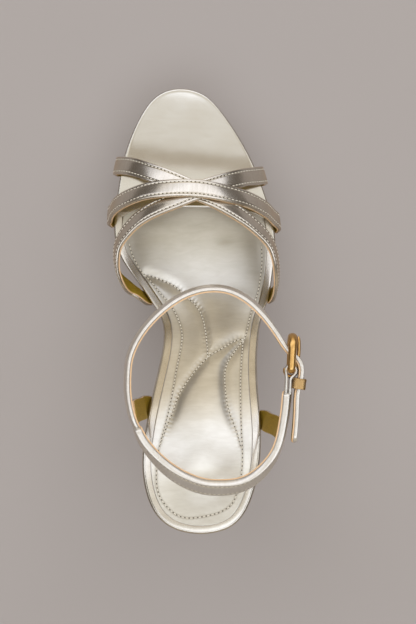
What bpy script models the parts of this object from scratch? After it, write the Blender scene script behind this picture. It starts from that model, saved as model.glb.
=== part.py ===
"""A right-foot platform sandal: a covered platform and block heel, a rounded footbed rim with a padded
sock, three toe straps that cross, an ankle strap on two side straps, and a gilt buckle and keeper.

Sizes are in millimetres and become metres when a mesh is made. X points to the outer (lateral) side of
the foot, Y to the toe and Z up. Y is measured from near the middle of the sole and X from the middle of
the ankle strap; at the end everything moves together so that the origin is under the middle of the box.
"""

import math

import bmesh
import bpy
import numpy as np

MM = 0.001
GAP = 0.3

# Plan of the footbed rim, from the back of the heel to the toe.
SOLE_OUTLINE = (
    # along, medial, lateral
    (-108.5, -3.7, -3.7),
    (-105.2, -18.3, 10.9),
    (-98.4, -26.0, 17.9),
    (-89.0, -30.3, 22.2),
    (-76.0, -32.3, 25.2),
    (-60.0, -31.3, 26.2),
    (-43.0, -28.2, 25.3),
    (-27.0, -24.7, 24.8),
    (-13.0, -22.7, 25.8),
    (-3.0, -24.4, 27.8),
    (4.0, -28.6, 30.4),
    (16.7, -37.6, 33.3),
    (28.0, -45.3, 34.8),
    (43.0, -49.2, 34.8),
    (60.0, -47.7, 30.4),
    (76.0, -45.2, 24.4),
    (93.0, -39.8, 15.2),
    (105.8, -33.0, 6.0),
    (113.2, -25.9, -2.0),
    (116.4, -14.6, -14.6),
)
SOLE_STATIONS = 44

# Side profile: the top of the rim runs down the seat, down the shank and along the forefoot.
SEAT_BACK_HEIGHT = 100.0
SEAT_ANGLE = 10.0
SEAT_BLEND = 16.0
SHANK_ANGLE = 40.0
BALL_BREAK = 17.0
BALL_BLEND = 22.0
FOREFOOT_HEIGHT = 27.0
TOE_RISE = 5.0
TOE_RISE_FROM = 62.0

# The stack of layers, measured square to the profile.
RIM_THICKNESS = 4.5
SHANK_COVER = 2.5
OUTSOLE_THICKNESS = 2.2
SHANK_STACK = RIM_THICKNESS + SHANK_COVER + OUTSOLE_THICKNESS + 2 * GAP
PLATFORM_REAR = 22.0
PLATFORM_REAR_ANGLE = 52.0
PLATFORM_BLEND = 8.0
TOE_SPRING = 6.0
TOE_SPRING_FROM = 70.0
BREAST = -60.0

# Side walls of the layers: where each row of the wall lies in from the rim and from a face.
RIM_WALL_ANGLES = (-90, -50, 0, 50, 90)
PLATFORM_WALL = (
    # face, distance from it, inset
    ("low", 0.0, 2.6),
    ("low", 1.2, 1.8),
    ("high", 2.6, 0.3),
    ("high", 0.9, 0.9),
    ("high", 0.0, 2.6),
)
OUTSOLE_WALL = (
    ("low", 0.0, 3.0),
    ("low", 0.7, 2.4),
    ("high", 0.0, 2.4),
)

SOCK_INSET = 4.2
SOCK_FRONT = 50.0
SOCK_FRONT_BOW = 6.0
SOCK_EDGE = 1.3
SOCK_PAD = 2.2
SOCK_WALL = (
    ("low", 0.0, 0.0),
    ("high", 0.3, 0.0),
    ("high", 0.0, 0.5),
)

TOP_PIECE_HEIGHT = 6.0
HEEL_CENTRE = (-3.0, -82.0)
HEEL_ROWS = (
    # share of the height, width, length and backward shift of the seat's plan
    (0.00, 0.60, 0.61, 0.0),
    (0.20, 0.60, 0.61, 0.0),
    (0.45, 0.63, 0.65, 0.3),
    (0.65, 0.71, 0.73, 0.6),
    (0.80, 0.82, 0.85, 1.0),
    (0.90, 0.91, 0.95, 1.2),
    (0.96, 0.97, 1.00, 1.0),
    (1.00, 0.985, 0.99, 0.0),
)
HEEL_INSET = 0.3
HEEL_SIDE_STATIONS = 13
HEEL_LAYERS = 14

STRAP_THICKNESS = 2.2
STRAP_END_THICKNESS = 1.1
STRAP_END_TAPER = 4.0
VAMP_STRAP_WIDTH = 9.5
VAMP_STATIONS = 34

# A toe strap leaves the seam under the rim on one side, runs over the foot and ends in the other seam.
# A seam place is a side, a distance along the foot, and how far forward the strap leans as it rises.
MEDIAL, LATERAL = 0, 1
STRAP_FRONT_IN = {
    "start": (MEDIAL, 75.5, 0.0),
    "over": (
        # x, y, z
        (-42.8, 75.4, 42.0),
        (-38.3, 74.4, 47.0),
        (-31.1, 71.8, 52.5),
        (-23.4, 69.0, 56.3),
        (-15.2, 65.5, 58.6),
        (-6.1, 61.3, 59.8),
        (3.0, 57.2, 59.6),
        (12.2, 52.0, 59.0),
        (19.3, 47.3, 57.8),
        (25.4, 42.2, 56.2),
        (31.6, 35.2, 53.5),
        (34.9, 24.6, 49.5),
        (35.4, 18.5, 45.5),
    ),
    "end": (LATERAL, 8.3, 0.45),
}
STRAP_FRONT_OUT = {
    "start": (LATERAL, 70.3, 0.0),
    "over": (
        (24.2, 70.1, 39.5),
        (18.5, 69.0, 46.5),
        (12.3, 67.3, 52.3),
        (4.1, 64.7, 57.6),
        (-6.1, 61.1, 61.6),
        (-15.2, 57.2, 62.0),
        (-24.3, 53.4, 61.2),
        (-32.2, 49.3, 59.8),
        (-38.1, 44.7, 58.0),
        (-41.9, 40.5, 56.3),
        (-45.6, 34.7, 54.0),
        (-46.8, 27.6, 51.5),
        (-46.3, 21.5, 49.0),
        (-43.9, 15.9, 46.0),
        (-39.2, 11.6, 41.0),
    ),
    "end": (MEDIAL, 7.5, 0.34),
}
STRAP_MIDDLE = {
    "start": (MEDIAL, 48.7, 0.2),
    "over": (
        (-50.5, 51.0, 34.5),
        (-49.4, 52.8, 40.0),
        (-46.0, 55.8, 47.5),
        (-39.0, 59.0, 54.6),
        (-31.3, 61.3, 58.6),
        (-23.2, 62.3, 61.3),
        (-14.1, 62.7, 62.8),
        (-5.0, 62.4, 62.9),
        (3.0, 61.3, 61.4),
        (10.1, 59.9, 58.6),
        (18.9, 57.8, 53.4),
        (26.7, 54.6, 46.2),
        (31.7, 51.5, 38.8),
        (34.8, 48.7, 32.5),
    ),
    "end": (LATERAL, 45.6, 0.2),
}
# The line inside the foot that the toe straps wrap, how far their upper faces lean to the toe, and how
# far their side faces turn to the heel or the toe at a distance along the foot.
FOOT_CORE_X = -7.0
FOOT_CORE_HEIGHT = ((-20.0, 62.0), (10.0, 47.0), (45.0, 41.0), (80.0, 35.0))
FOOT_FACE_LEAN = 0.35
FOOT_FACE_SWEEP = ((8.0, -0.35), (40.0, 0.0), (75.0, 0.26))

# How a strap leaves the seam between rim and platform: out from the rim's edge and up from the seam.
SEAM_STEPS = (
    # out, up
    (0.5, 0.1),
    (1.9, 3.2),
    (2.4, 6.6),
)
SEAM_SETTLE = 16.0

ANKLE_STRAP_WIDTH = 9.4
ANKLE_STRAP_THICKNESS = 3.2
HEEL_STRAP_THICKNESS = 3.6
ANKLE_TAIL_THICKNESS = 2.5
ANKLE_STRAP_STATIONS = 62
ANKLE_HEIGHT = 171.0
# The long ankle strap: inner side, front, through the buckle and keeper, then its free end.
ANKLE_STRAP = (
    # x, y
    (-31.6, -53.6),
    (-33.4, -50.0),
    (-35.4, -43.3),
    (-36.4, -36.4),
    (-36.4, -28.1),
    (-35.4, -20.4),
    (-33.3, -14.9),
    (-29.1, -8.0),
    (-22.9, -1.1),
    (-16.0, 4.5),
    (-9.0, 8.3),
    (0.6, 10.6),
    (9.0, 9.9),
    (15.8, 6.9),
    (21.4, 2.6),
    (27.0, -3.9),
    (32.3, -12.0),
    (35.6, -16.8),
    (38.3, -19.5),
    (40.6, -21.6),
    (41.9, -24.0),
    (42.2, -27.2),
    (41.7, -30.6),
    (40.7, -34.6),
    (39.9, -45.0),
    (38.8, -59.2),
)
# The heel strap goes on from the inner side round the back to the buckle; its face leans out at the back.
HEEL_STRAP = (
    # x, y, z, lean of the face in degrees
    (-32.4, -51.6, 171.0, 6.0),
    (-29.8, -57.6, 170.6, 12.0),
    (-23.8, -65.7, 170.0, 20.0),
    (-16.2, -72.6, 169.4, 26.0),
    (-8.9, -76.8, 169.0, 29.0),
    (-1.2, -79.3, 168.8, 30.0),
    (6.4, -79.7, 168.8, 30.0),
    (13.0, -78.9, 169.0, 28.0),
    (19.6, -76.1, 169.4, 25.0),
    (26.0, -70.4, 170.0, 18.0),
    (30.9, -62.7, 170.6, 9.0),
    (33.7, -52.9, 171.0, 3.0),
    (35.2, -43.4, 171.0, 0.0),
    (35.9, -35.4, 171.0, 0.0),
)
HEEL_STRAP_STATIONS = 36

SIDE_STRAP_STATIONS = 16
SIDE_STRAP_SLANT = 40.0
SIDE_STRAP_IN = {
    "width": 11.0,
    "seam": (MEDIAL, -47.6, 0.0),
    "over": (
        (-31.8, -47.0, 100.0),
        (-33.3, -46.4, 130.0),
        (-33.9, -46.0, 155.0),
        (-33.7, -45.8, 170.5),
    ),
}
SIDE_STRAP_OUT = {
    "width": 9.8,
    "seam": (LATERAL, -53.8, 0.0),
    "over": (
        (29.2, -53.6, 106.0),
        (31.6, -53.4, 133.0),
        (32.8, -53.2, 156.0),
        (32.9, -53.0, 170.5),
    ),
}
# The side straps face away from this place in plan; the second share says how far they turn along Y.
HEEL_CORE = (-2.0, -38.0)
HEEL_TURN = 0.7

# The buckle lies on the outer side, its long way nearly along the foot.
BUCKLE_CENTRE = (37.9, -18.8, ANKLE_HEIGHT)
BUCKLE_ALONG = (0.055, 0.998)
BUCKLE_HALF_LENGTH = 7.7
BUCKLE_HALF_HEIGHT = 6.6
BUCKLE_CORNER = 2.4
BUCKLE_WIRE = 2.8
BUCKLE_STATIONS = 40
PRONG_WIRE = 1.4
PRONG_HOLE = 2.2
PRONG_TIP_REACH = 8.0
PRONG_STATIONS = 30

TAB_THICKNESS = 1.2
TAB_WIDTH = 9.0
TAB_STATIONS = 30
TAB_ROOT = (36.0, -37.2)
TAB_NECK = 4.0
TAB_SLOT = 3.4

KEEPER_CENTRE = (41.1, -32.4, ANKLE_HEIGHT)
KEEPER_ALONG = (0.14, 0.99)
KEEPER_HALF_REACH = 2.45
KEEPER_HALF_HEIGHT = 5.8
KEEPER_CORNER = 1.2
KEEPER_BAND = 4.4
KEEPER_SHEET = 0.9
KEEPER_STATIONS = 28

# Finishes: colour, metallic and roughness.
LEATHER = ("champagne_leather", (0.72, 0.68, 0.60), 0.85, 0.32)
LINING = ("padded_sock_leather", (0.74, 0.71, 0.64), 0.8, 0.36)
RUBBER = ("tan_rubber", (0.33, 0.25, 0.18), 0.0, 0.7)
GILT = ("gilt_metal", (0.83, 0.60, 0.27), 1.0, 0.28)


def clear_scene():
    """Removes the objects that the scene starts with."""
    for obj in list(bpy.data.objects):
        bpy.data.objects.remove(obj)


def spline(knots, values, at):
    """Natural cubic spline through the values (one row per knot), read at the given places."""
    knots, values, at = (np.asarray(v, float) for v in (knots, values, at))
    count = len(knots)
    step = np.diff(knots)
    system = np.eye(count)
    right = np.zeros((count, values.shape[1]))
    slopes = np.diff(values, axis=0) / step[:, None]
    for i in range(1, count - 1):
        system[i, i - 1 : i + 2] = step[i - 1], 2 * (step[i - 1] + step[i]), step[i]
        right[i] = 6 * (slopes[i] - slopes[i - 1])
    bend = np.linalg.solve(system, right)
    i = np.clip(np.searchsorted(knots, at, side="right") - 1, 0, count - 2)
    h = step[i][:, None]
    a = (knots[i + 1] - at)[:, None]
    b = (at - knots[i])[:, None]
    curve = (bend[i] * a**3 + bend[i + 1] * b**3) / (6 * h)
    return curve + (values[i] / h - bend[i] * h / 6) * a + (values[i + 1] / h - bend[i + 1] * h / 6) * b


def lengths(path):
    """How far along the path each of its points lies."""
    return np.concatenate([[0], np.cumsum(np.linalg.norm(np.diff(path, axis=0), axis=1))])


def along_curve(rows, count):
    """Points a like distance apart on a smooth curve through the rows. The first three columns are x, y, z."""
    rows = np.asarray(rows, float)
    knots = lengths(rows[:, :3])
    fine = spline(knots, rows, np.linspace(0, knots[-1], 12 * count))
    run = lengths(fine[:, :3])
    stops = np.linspace(0, run[-1], count)
    return np.stack([np.interp(stops, run, column) for column in fine.T], axis=1)


def soft_min(a, b, blend):
    """The lower of two heights, rounded where they are within the blend of each other."""
    near = np.maximum(blend - np.abs(a - b), 0) / blend
    return np.minimum(a, b) - near**2 * blend / 4


def soft_max(a, b, blend):
    return -soft_min(-a, -b, blend)


def rim_top(y):
    """Height of the rim's top: seat, shank and forefoot runs with rounded breaks, rising at the toe."""
    y = np.asarray(y, float)
    seat = SEAT_BACK_HEIGHT - math.tan(math.radians(SEAT_ANGLE)) * (y - SOLE_OUTLINE[0][0])
    shank = FOREFOOT_HEIGHT + math.tan(math.radians(SHANK_ANGLE)) * (BALL_BREAK - y)
    toe_run = SOLE_OUTLINE[-1][0] - TOE_RISE_FROM
    forefoot = FOREFOOT_HEIGHT + TOE_RISE * np.maximum(0, (y - TOE_RISE_FROM) / toe_run) ** 2
    return soft_min(seat, soft_max(shank, forefoot, BALL_BLEND), SEAT_BLEND)


def below_rim(y, depth):
    """Height of the curve that lies the depth under the rim's top, square to its slope."""
    slope = (rim_top(y + 0.5) - rim_top(y - 0.5)) / 1.0
    return rim_top(y) - depth * np.sqrt(1 + slope**2)


def sole_low(y):
    """Underside of the outsole: flat under the ball, sprung at the toe, up the platform's back to the shank."""
    y = np.asarray(y, float)
    toe_run = SOLE_OUTLINE[-1][0] - TOE_SPRING_FROM
    spring = TOE_SPRING * np.maximum(0, (y - TOE_SPRING_FROM) / toe_run) ** 2
    back = math.tan(math.radians(PLATFORM_REAR_ANGLE)) * (PLATFORM_REAR - y)
    return soft_min(below_rim(y, SHANK_STACK), soft_max(spring, back, PLATFORM_BLEND), PLATFORM_BLEND)


def outsole_high(y):
    slope = sole_low(y + 0.5) - sole_low(y - 0.5)
    return sole_low(y) + OUTSOLE_THICKNESS * np.sqrt(1 + slope**2)


def station_of(y):
    """The outline's running value, 0 at the heel and 1 at the toe, which crowds stations at both ends."""
    low, high = SOLE_OUTLINE[0][0], SOLE_OUTLINE[-1][0]
    return np.arccos(np.clip((low + high - 2 * np.asarray(y, float)) / (high - low), -1, 1)) / math.pi


def rim_edges(stations):
    """Plan points of the rim's two edges at the stations, and the directions that point out of them."""
    table = np.array(SOLE_OUTLINE)
    low, high = table[0, 0], table[-1, 0]

    def plan(u):
        x = spline(station_of(table[:, 0]), table[:, 1:], u)
        y = (low + high) / 2 - (high - low) / 2 * np.cos(math.pi * u)
        return np.stack([x[:, 0], y], 1), np.stack([x[:, 1], y], 1)

    step = 1e-4
    before, after = plan(np.clip(stations - step, 0, 1)), plan(np.clip(stations + step, 0, 1))
    outward = []
    for side, turn in ((MEDIAL, -1), (LATERAL, 1)):
        run = after[side] - before[side]
        run /= np.linalg.norm(run, axis=1)[:, None]
        outward.append(turn * np.stack([run[:, 1], -run[:, 0]], 1))
    return plan(stations), outward


def seam_point(side, y, out, up):
    """A point by the seam under the rim: out from the rim's edge in plan, and up from the seam."""
    edges, outward = rim_edges(station_of(np.array([y])))
    x, y = edges[side][0] + out * outward[side][0]
    return (x, y, float(below_rim(y, RIM_THICKNESS)) - GAP / 2 + up)


def material(finish):
    name, colour, metallic, roughness = finish
    made = bpy.data.materials.get(name)
    if made is None:
        made = bpy.data.materials.new(name)
        made.use_nodes = True
        shader = made.node_tree.nodes["Principled BSDF"]
        shader.inputs["Base Color"].default_value = (*colour, 1)
        shader.inputs["Metallic"].default_value = metallic
        shader.inputs["Roughness"].default_value = roughness
    return made


def loft(name, sections, finish, ring=False):
    """A closed solid through a run of closed sections (run, points, xyz); ring joins the last to the first."""
    sections = np.asarray(sections, float)
    runs, points = sections.shape[:2]
    bm = bmesh.new()
    rows = [[bm.verts.new(p * MM) for p in section] for section in sections]
    for i in range(runs if ring else runs - 1):
        this, following = rows[i], rows[(i + 1) % runs]
        for j in range(points):
            k = (j + 1) % points
            bm.faces.new((this[j], this[k], following[k], following[j]))
    if not ring:
        bm.faces.new(rows[0])
        bm.faces.new(reversed(rows[-1]))
    bmesh.ops.remove_doubles(bm, verts=bm.verts, dist=1e-6)
    bmesh.ops.dissolve_degenerate(bm, edges=bm.edges, dist=1e-7)
    bmesh.ops.triangulate(bm, faces=[f for f in bm.faces if len(f.verts) > 4])
    bmesh.ops.recalc_face_normals(bm, faces=bm.faces)
    mesh = bpy.data.meshes.new(name)
    bm.to_mesh(mesh)
    bm.free()
    mesh.shade_smooth()
    mesh.set_sharp_from_angle(angle=math.radians(40))
    mesh.materials.append(material(finish))
    obj = bpy.data.objects.new(name, mesh)
    bpy.context.scene.collection.objects.link(obj)
    return obj


def boolean(obj, other, operation):
    """Joins or cuts with another object, which then only serves as the tool."""
    cut = obj.modifiers.new(f"{operation.lower()}_{other.name}", "BOOLEAN")
    cut.operation = operation
    cut.solver = "EXACT"
    cut.object = other
    other.hide_render = True
    other.display_type = "WIRE"


def layer(name, stations, low, high, wall, finish, inset=0.0, across=4, crown=0.0, bow=0.0):
    """A sole layer between two height functions. Its wall is a table of rows, each set in from the outline.
    The crown raises the middle of the upper face, and the bow carries the front edge forward there."""
    edges, outward = rim_edges(stations)
    share = np.linspace(0, 1, across + 1)[1:-1]
    front = ((stations - stations[0]) / (stations[-1] - stations[0])) ** 12

    def wall_row(side, face, distance, inward):
        plan = edges[side] - outward[side] * (inset + inward)
        bottom, top = low(plan[:, 1]), high(plan[:, 1])
        reach = np.minimum(distance, 0.45 * (top - bottom))
        return np.column_stack([plan, bottom + reach if face == "low" else top - reach])

    def face_row(left, right, part, height, lift):
        plan = left[:, :2] * (1 - part) + right[:, :2] * part
        mid = 1 - (2 * part - 1) ** 4
        plan[:, 1] += bow * front * mid
        return np.column_stack([plan, height(plan[:, 1]) + lift * mid])

    left = [wall_row(MEDIAL, *row) for row in wall]
    right = [wall_row(LATERAL, *row) for row in wall]
    upper = [face_row(left[-1], right[-1], part, high, crown) for part in share]
    lower = [face_row(left[0], right[0], part, low, 0.0) for part in share]
    ring = left + upper + right[::-1] + lower[::-1]
    return loft(name, np.stack(ring, axis=1), finish)


def rim_wall():
    """The rim's rounded edge, as rows of a wall: a half circle of the rim's thickness."""
    radius = RIM_THICKNESS / 2
    rows = []
    for angle in RIM_WALL_ANGLES:
        inset = radius * (1 - math.cos(math.radians(angle)))
        rise = radius * (1 + math.sin(math.radians(angle)))
        rows.append(("low", rise, inset) if angle <= 0 else ("high", 2 * radius - rise, inset))
    return rows


def sole_stations(first, last, count):
    return np.linspace(float(station_of(first)), float(station_of(last)), count)


def build_sole():
    """Outsole, platform, rim and sock, each a layer of the same outline and profile."""
    heel_end, toe_end = SOLE_OUTLINE[0][0], SOLE_OUTLINE[-1][0]
    whole = np.linspace(0, 1, SOLE_STATIONS)
    front = sole_stations(BREAST + GAP, toe_end, SOLE_STATIONS - 8)
    layer("footbed_rim", whole, lambda y: below_rim(y, RIM_THICKNESS), rim_top, rim_wall(), LEATHER)
    layer(
        "platform",
        front,
        lambda y: outsole_high(y) + GAP,
        lambda y: below_rim(y, RIM_THICKNESS + GAP),
        PLATFORM_WALL,
        LEATHER,
    )
    layer("outsole", front, sole_low, outsole_high, OUTSOLE_WALL, RUBBER)
    layer(
        "sock",
        sole_stations(heel_end, SOCK_FRONT, SOLE_STATIONS - 6),
        lambda y: rim_top(y) + GAP,
        lambda y: rim_top(y) + GAP + SOCK_EDGE,
        SOCK_WALL,
        LINING,
        inset=SOCK_INSET,
        across=6,
        crown=SOCK_PAD,
        bow=SOCK_FRONT_BOW,
    )


def seat_plan():
    """Plan of the heel's top: round the seat from the outer breast corner to the inner one."""
    stations = sole_stations(SOLE_OUTLINE[0][0], BREAST, HEEL_SIDE_STATIONS)
    edges, outward = rim_edges(stations)
    sides = [edges[s] - HEEL_INSET * outward[s] for s in (MEDIAL, LATERAL)]
    return np.concatenate([sides[LATERAL][::-1], sides[MEDIAL][1:]])


def heel_plan(plan, width, length, shift):
    """The seat's plan drawn in about the heel's centre, and moved back."""
    centre = np.array(HEEL_CENTRE)
    return centre + (plan - centre) * (width, length) - (0, shift)


def build_heel():
    """The heel block runs from the seat's slope down to the top piece, narrowing as its table says."""
    plan = seat_plan()
    shares = 1 - (1 - np.linspace(0, 1, HEEL_LAYERS)) ** 1.4
    table = np.array(HEEL_ROWS)
    foot = TOP_PIECE_HEIGHT + GAP
    sections = []
    for share, row in zip(shares, spline(table[:, 0], table[:, 1:], shares)):
        drawn = heel_plan(plan, *row)
        seat = below_rim(drawn[:, 1], RIM_THICKNESS + GAP)
        sections.append(np.column_stack([drawn, foot + share * (seat - foot)]))
    loft("heel", sections, LEATHER)
    drawn = heel_plan(plan, *HEEL_ROWS[0][1:])
    rounded = heel_plan(plan, *(np.array(HEEL_ROWS[0][1:]) * (0.97, 0.97, 1)))
    heights = ((rounded, 0.0), (drawn, 1.0), (drawn, TOP_PIECE_HEIGHT))
    sections = [np.column_stack([p, np.full(len(p), z)]) for p, z in heights]
    loft("heel_top_piece", sections, RUBBER)


def strip_section(width, thickness):
    """Corners of a strap's section, with its edges eased: columns are across and outward."""
    half, wall = width / 2, thickness / 2
    ease = 0.45 * thickness
    return np.array(
        (
            (-half, -wall + ease),
            (-half, wall - ease),
            (-half + ease, wall),
            (half - ease, wall),
            (half, wall - ease),
            (half, -wall + ease),
            (half - ease, -wall),
            (-half + ease, -wall),
        )
    )


def directions(path):
    run = np.gradient(path, axis=0)
    return run / np.linalg.norm(run, axis=1)[:, None]


def square_to(faces, run):
    """The face directions with their share along the run taken out, at unit length."""
    faces = faces - run * np.sum(faces * run, axis=1)[:, None]
    return faces / np.linalg.norm(faces, axis=1)[:, None]


def strap(name, path, faces, width, thickness, finish, slant=0.0):
    """A flat strap along a path. Its outer face looks along faces, and thickness has one value per point.
    The slant drops each section's front edge, so that the strap's end lies along a sloping seam."""
    run = directions(path)
    out = square_to(faces, run)
    across = np.cross(out, run)
    thickness = np.broadcast_to(thickness, len(path))
    slant = np.broadcast_to(slant, len(path))
    sections = []
    for point, side, outward, wall, fall in zip(path, across, out, thickness, slant):
        shape = strip_section(width, wall)
        section = point + shape[:, :1] * side + shape[:, 1:] * outward
        section[:, 2] += fall * (section[:, 1] - point[1])
        sections.append(section)
    return loft(name, sections, finish)


def thinned(path, start, end):
    """Strap thickness along a path, skived down over the last few millimetres at the named ends."""
    run = lengths(path)
    left = np.full(len(path), STRAP_END_TAPER)
    left = np.minimum(left, run) if start else left
    left = np.minimum(left, run[-1] - run) if end else left
    return STRAP_END_THICKNESS + (STRAP_THICKNESS - STRAP_END_THICKNESS) * left / STRAP_END_TAPER


def seam_rows(seam):
    side, y, lean = seam
    return [seam_point(side, y + lean * up, out, up) for out, up in SEAM_STEPS]


def settle(path, faces, seams):
    """Near each seam, turns a strap's faces square to the rim's edge. The seams are at the path's two ends."""
    faces = faces / np.linalg.norm(faces, axis=1)[:, None]
    run = lengths(path)
    for seam, distance in zip(seams, (run, run[-1] - run)):
        if seam:
            outward = rim_edges(station_of(np.array([seam[1]])))[1][seam[0]][0]
            near = np.clip(1 - distance / SEAM_SETTLE, 0, 1)[:, None]
            near = near * near * (3 - 2 * near)
            faces = faces * (1 - near) + np.array([*outward, 0]) * near
    return faces


def toe_strap(name, rows):
    """A toe strap from seam to seam, facing away from the line inside the foot."""
    path = along_curve(seam_rows(rows["start"]) + list(rows["over"]) + seam_rows(rows["end"])[::-1], VAMP_STATIONS)
    core = np.array(FOOT_CORE_HEIGHT)
    rise = path[:, 2] - np.interp(path[:, 1], core[:, 0], core[:, 1])
    side = path[:, 0] - FOOT_CORE_X
    sweep = np.interp(path[:, 1], *np.array(FOOT_FACE_SWEEP).T)
    faces = np.stack([side, FOOT_FACE_LEAN * rise + sweep * np.abs(side), rise], axis=1)
    faces = settle(path, faces, (rows["start"], rows["end"]))
    return strap(name, path, faces, VAMP_STRAP_WIDTH, thinned(path, True, True), LEATHER)


def build_vamp():
    """Three toe straps, joined where they cross: the front inner one lowest, the middle one on top."""
    vamp = toe_strap("vamp_straps", STRAP_FRONT_IN)
    boolean(vamp, toe_strap("strap_front_out", STRAP_FRONT_OUT), "UNION")
    boolean(vamp, toe_strap("strap_middle", STRAP_MIDDLE), "UNION")


def ring_faces(path, lean, turn):
    """Outward faces of a strap that runs round the ankle, tipped up by the lean in degrees."""
    run = directions(path)
    flat = turn * np.stack([-run[:, 1], run[:, 0], np.zeros(len(run))], axis=1)
    flat /= np.linalg.norm(flat, axis=1)[:, None]
    lean = np.radians(lean)[:, None]
    return flat * np.cos(lean) + np.array([0, 0, 1]) * np.sin(lean)


def long_strap():
    rows = [(x, y, ANKLE_HEIGHT) for x, y in ANKLE_STRAP]
    path = along_curve(rows, ANKLE_STRAP_STATIONS)
    share = np.linspace(0, 1, len(path))
    thickness = np.interp(share, (0, 0.55, 0.65, 1), (ANKLE_STRAP_THICKNESS,) * 2 + (ANKLE_TAIL_THICKNESS,) * 2)
    faces = ring_faces(path, np.zeros(len(path)), 1)
    return strap("ankle_straps", path, faces, ANKLE_STRAP_WIDTH, thickness, LEATHER)


def heel_strap():
    rows = along_curve(HEEL_STRAP, HEEL_STRAP_STATIONS)
    path = rows[:, :3]
    faces = ring_faces(path, rows[:, 3], -1)
    return strap("heel_strap", path, faces, ANKLE_STRAP_WIDTH, HEEL_STRAP_THICKNESS, LEATHER)


def side_strap(name, rows):
    """A side strap from the seam by the heel up to the ankle strap, facing away from the heel's middle."""
    path = along_curve(seam_rows(rows["seam"]) + list(rows["over"]), SIDE_STRAP_STATIONS)
    faces = np.column_stack([path[:, :2] - HEEL_CORE, np.zeros(len(path))])
    faces[:, 1] *= HEEL_TURN
    faces = settle(path, faces, (rows["seam"], None))
    y = rows["seam"][1]
    slope = rim_top(y + 0.5) - rim_top(y - 0.5)
    slant = slope * np.clip(1 - lengths(path) / SIDE_STRAP_SLANT, 0, 1)
    return strap(name, path, faces, rows["width"], thinned(path, True, False), LEATHER, slant)


def fitting_axes(along):
    """Axes of a metal fitting: along the strap, up, and out of the ankle."""
    along = np.array([*along, 0.0]) / math.hypot(*along)
    return along, np.array([0.0, 0.0, 1.0]), np.array([along[1], -along[0], 0.0])


def placed(points, centre, along):
    """Points given along, up and out, in the fitting's place."""
    return np.array(centre) + np.asarray(points, float) @ np.array(fitting_axes(along))


def round_section(width):
    angles = np.arange(8) * math.pi / 4 + math.pi / 8
    return width / 2 * np.stack([np.cos(angles), np.sin(angles)], axis=1)


def wire(name, path, section, finish, ring, sideways):
    """A bar of one section carried along a path; sideways is the direction that stays in the section."""
    run = np.roll(path, -1, axis=0) - np.roll(path, 1, axis=0) if ring else np.gradient(path, axis=0)
    run = run / np.linalg.norm(run, axis=1)[:, None]
    first = square_to(np.broadcast_to(sideways, path.shape), run)
    second = np.cross(run, first)
    sections = [p + section[:, :1] * a + section[:, 1:] * b for p, a, b in zip(path, first, second)]
    return loft(name, sections, finish, ring=ring)


def rounded_rectangle(half_x, half_y, corner, count):
    """Points evenly round a rectangle with arc corners, as two columns."""
    arc = np.linspace(0, math.pi / 2, 9)
    points = []
    for turn, (sx, sy) in enumerate(((1, 1), (-1, 1), (-1, -1), (1, -1))):
        angles = arc + turn * math.pi / 2
        centre = np.array([sx * (half_x - corner), sy * (half_y - corner)])
        points.extend(centre + corner * np.stack([np.cos(angles), np.sin(angles)], axis=1))
    points = np.array(points + points[:1])
    run = lengths(points)
    stops = np.linspace(0, run[-1], count, endpoint=False)
    return np.stack([np.interp(stops, run, column) for column in points.T], axis=1)


def build_buckle():
    """The buckle's frame, a rounded bar bent into a rectangle with round corners."""
    flat = rounded_rectangle(BUCKLE_HALF_LENGTH, BUCKLE_HALF_HEIGHT, BUCKLE_CORNER, BUCKLE_STATIONS)
    path = placed(np.column_stack([flat, 0 * flat[:, 0]]), BUCKLE_CENTRE, BUCKLE_ALONG)
    out = fitting_axes(BUCKLE_ALONG)[2]
    wire("buckle_frame", path, round_section(BUCKLE_WIRE), GILT, True, out)


def prong(name, width):
    """The prong hooks round the buckle's rear bar and lies along to rest on the front bar."""
    hook = (BUCKLE_WIRE + PRONG_WIRE) / 2 + GAP
    turns = np.radians(np.linspace(-70, -270, 12))
    curl = np.stack([-BUCKLE_HALF_LENGTH + hook * np.cos(turns), 0 * turns, hook * np.sin(turns)], axis=1)
    reach = np.linspace(-BUCKLE_HALF_LENGTH + 2, PRONG_TIP_REACH, 9)
    rows = np.concatenate([curl, np.stack([reach, 0 * reach, np.full(9, hook)], axis=1)])
    path = placed(along_curve(rows, PRONG_STATIONS), BUCKLE_CENTRE, BUCKLE_ALONG)
    return wire(name, path, round_section(width), GILT, False, np.array([0.0, 0.0, 1.0]))


def build_keeper():
    """The keeper, a flat metal band bent into a loop round the strap's free end."""
    loop = rounded_rectangle(KEEPER_HALF_REACH, KEEPER_HALF_HEIGHT, KEEPER_CORNER, KEEPER_STATIONS)
    path = placed(np.column_stack([0 * loop[:, 0], loop[:, 1], loop[:, 0]]), KEEPER_CENTRE, KEEPER_ALONG)
    half, sheet = KEEPER_BAND / 2, KEEPER_SHEET / 2
    ease = 0.3
    section = np.array(
        (
            (-half, -sheet),
            (half, -sheet),
            (half, sheet - ease),
            (half - ease, sheet),
            (-half + ease, sheet),
            (-half, sheet - ease),
        )
    )
    wire("strap_keeper", path, section, GILT, True, fitting_axes(KEEPER_ALONG)[0])


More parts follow.
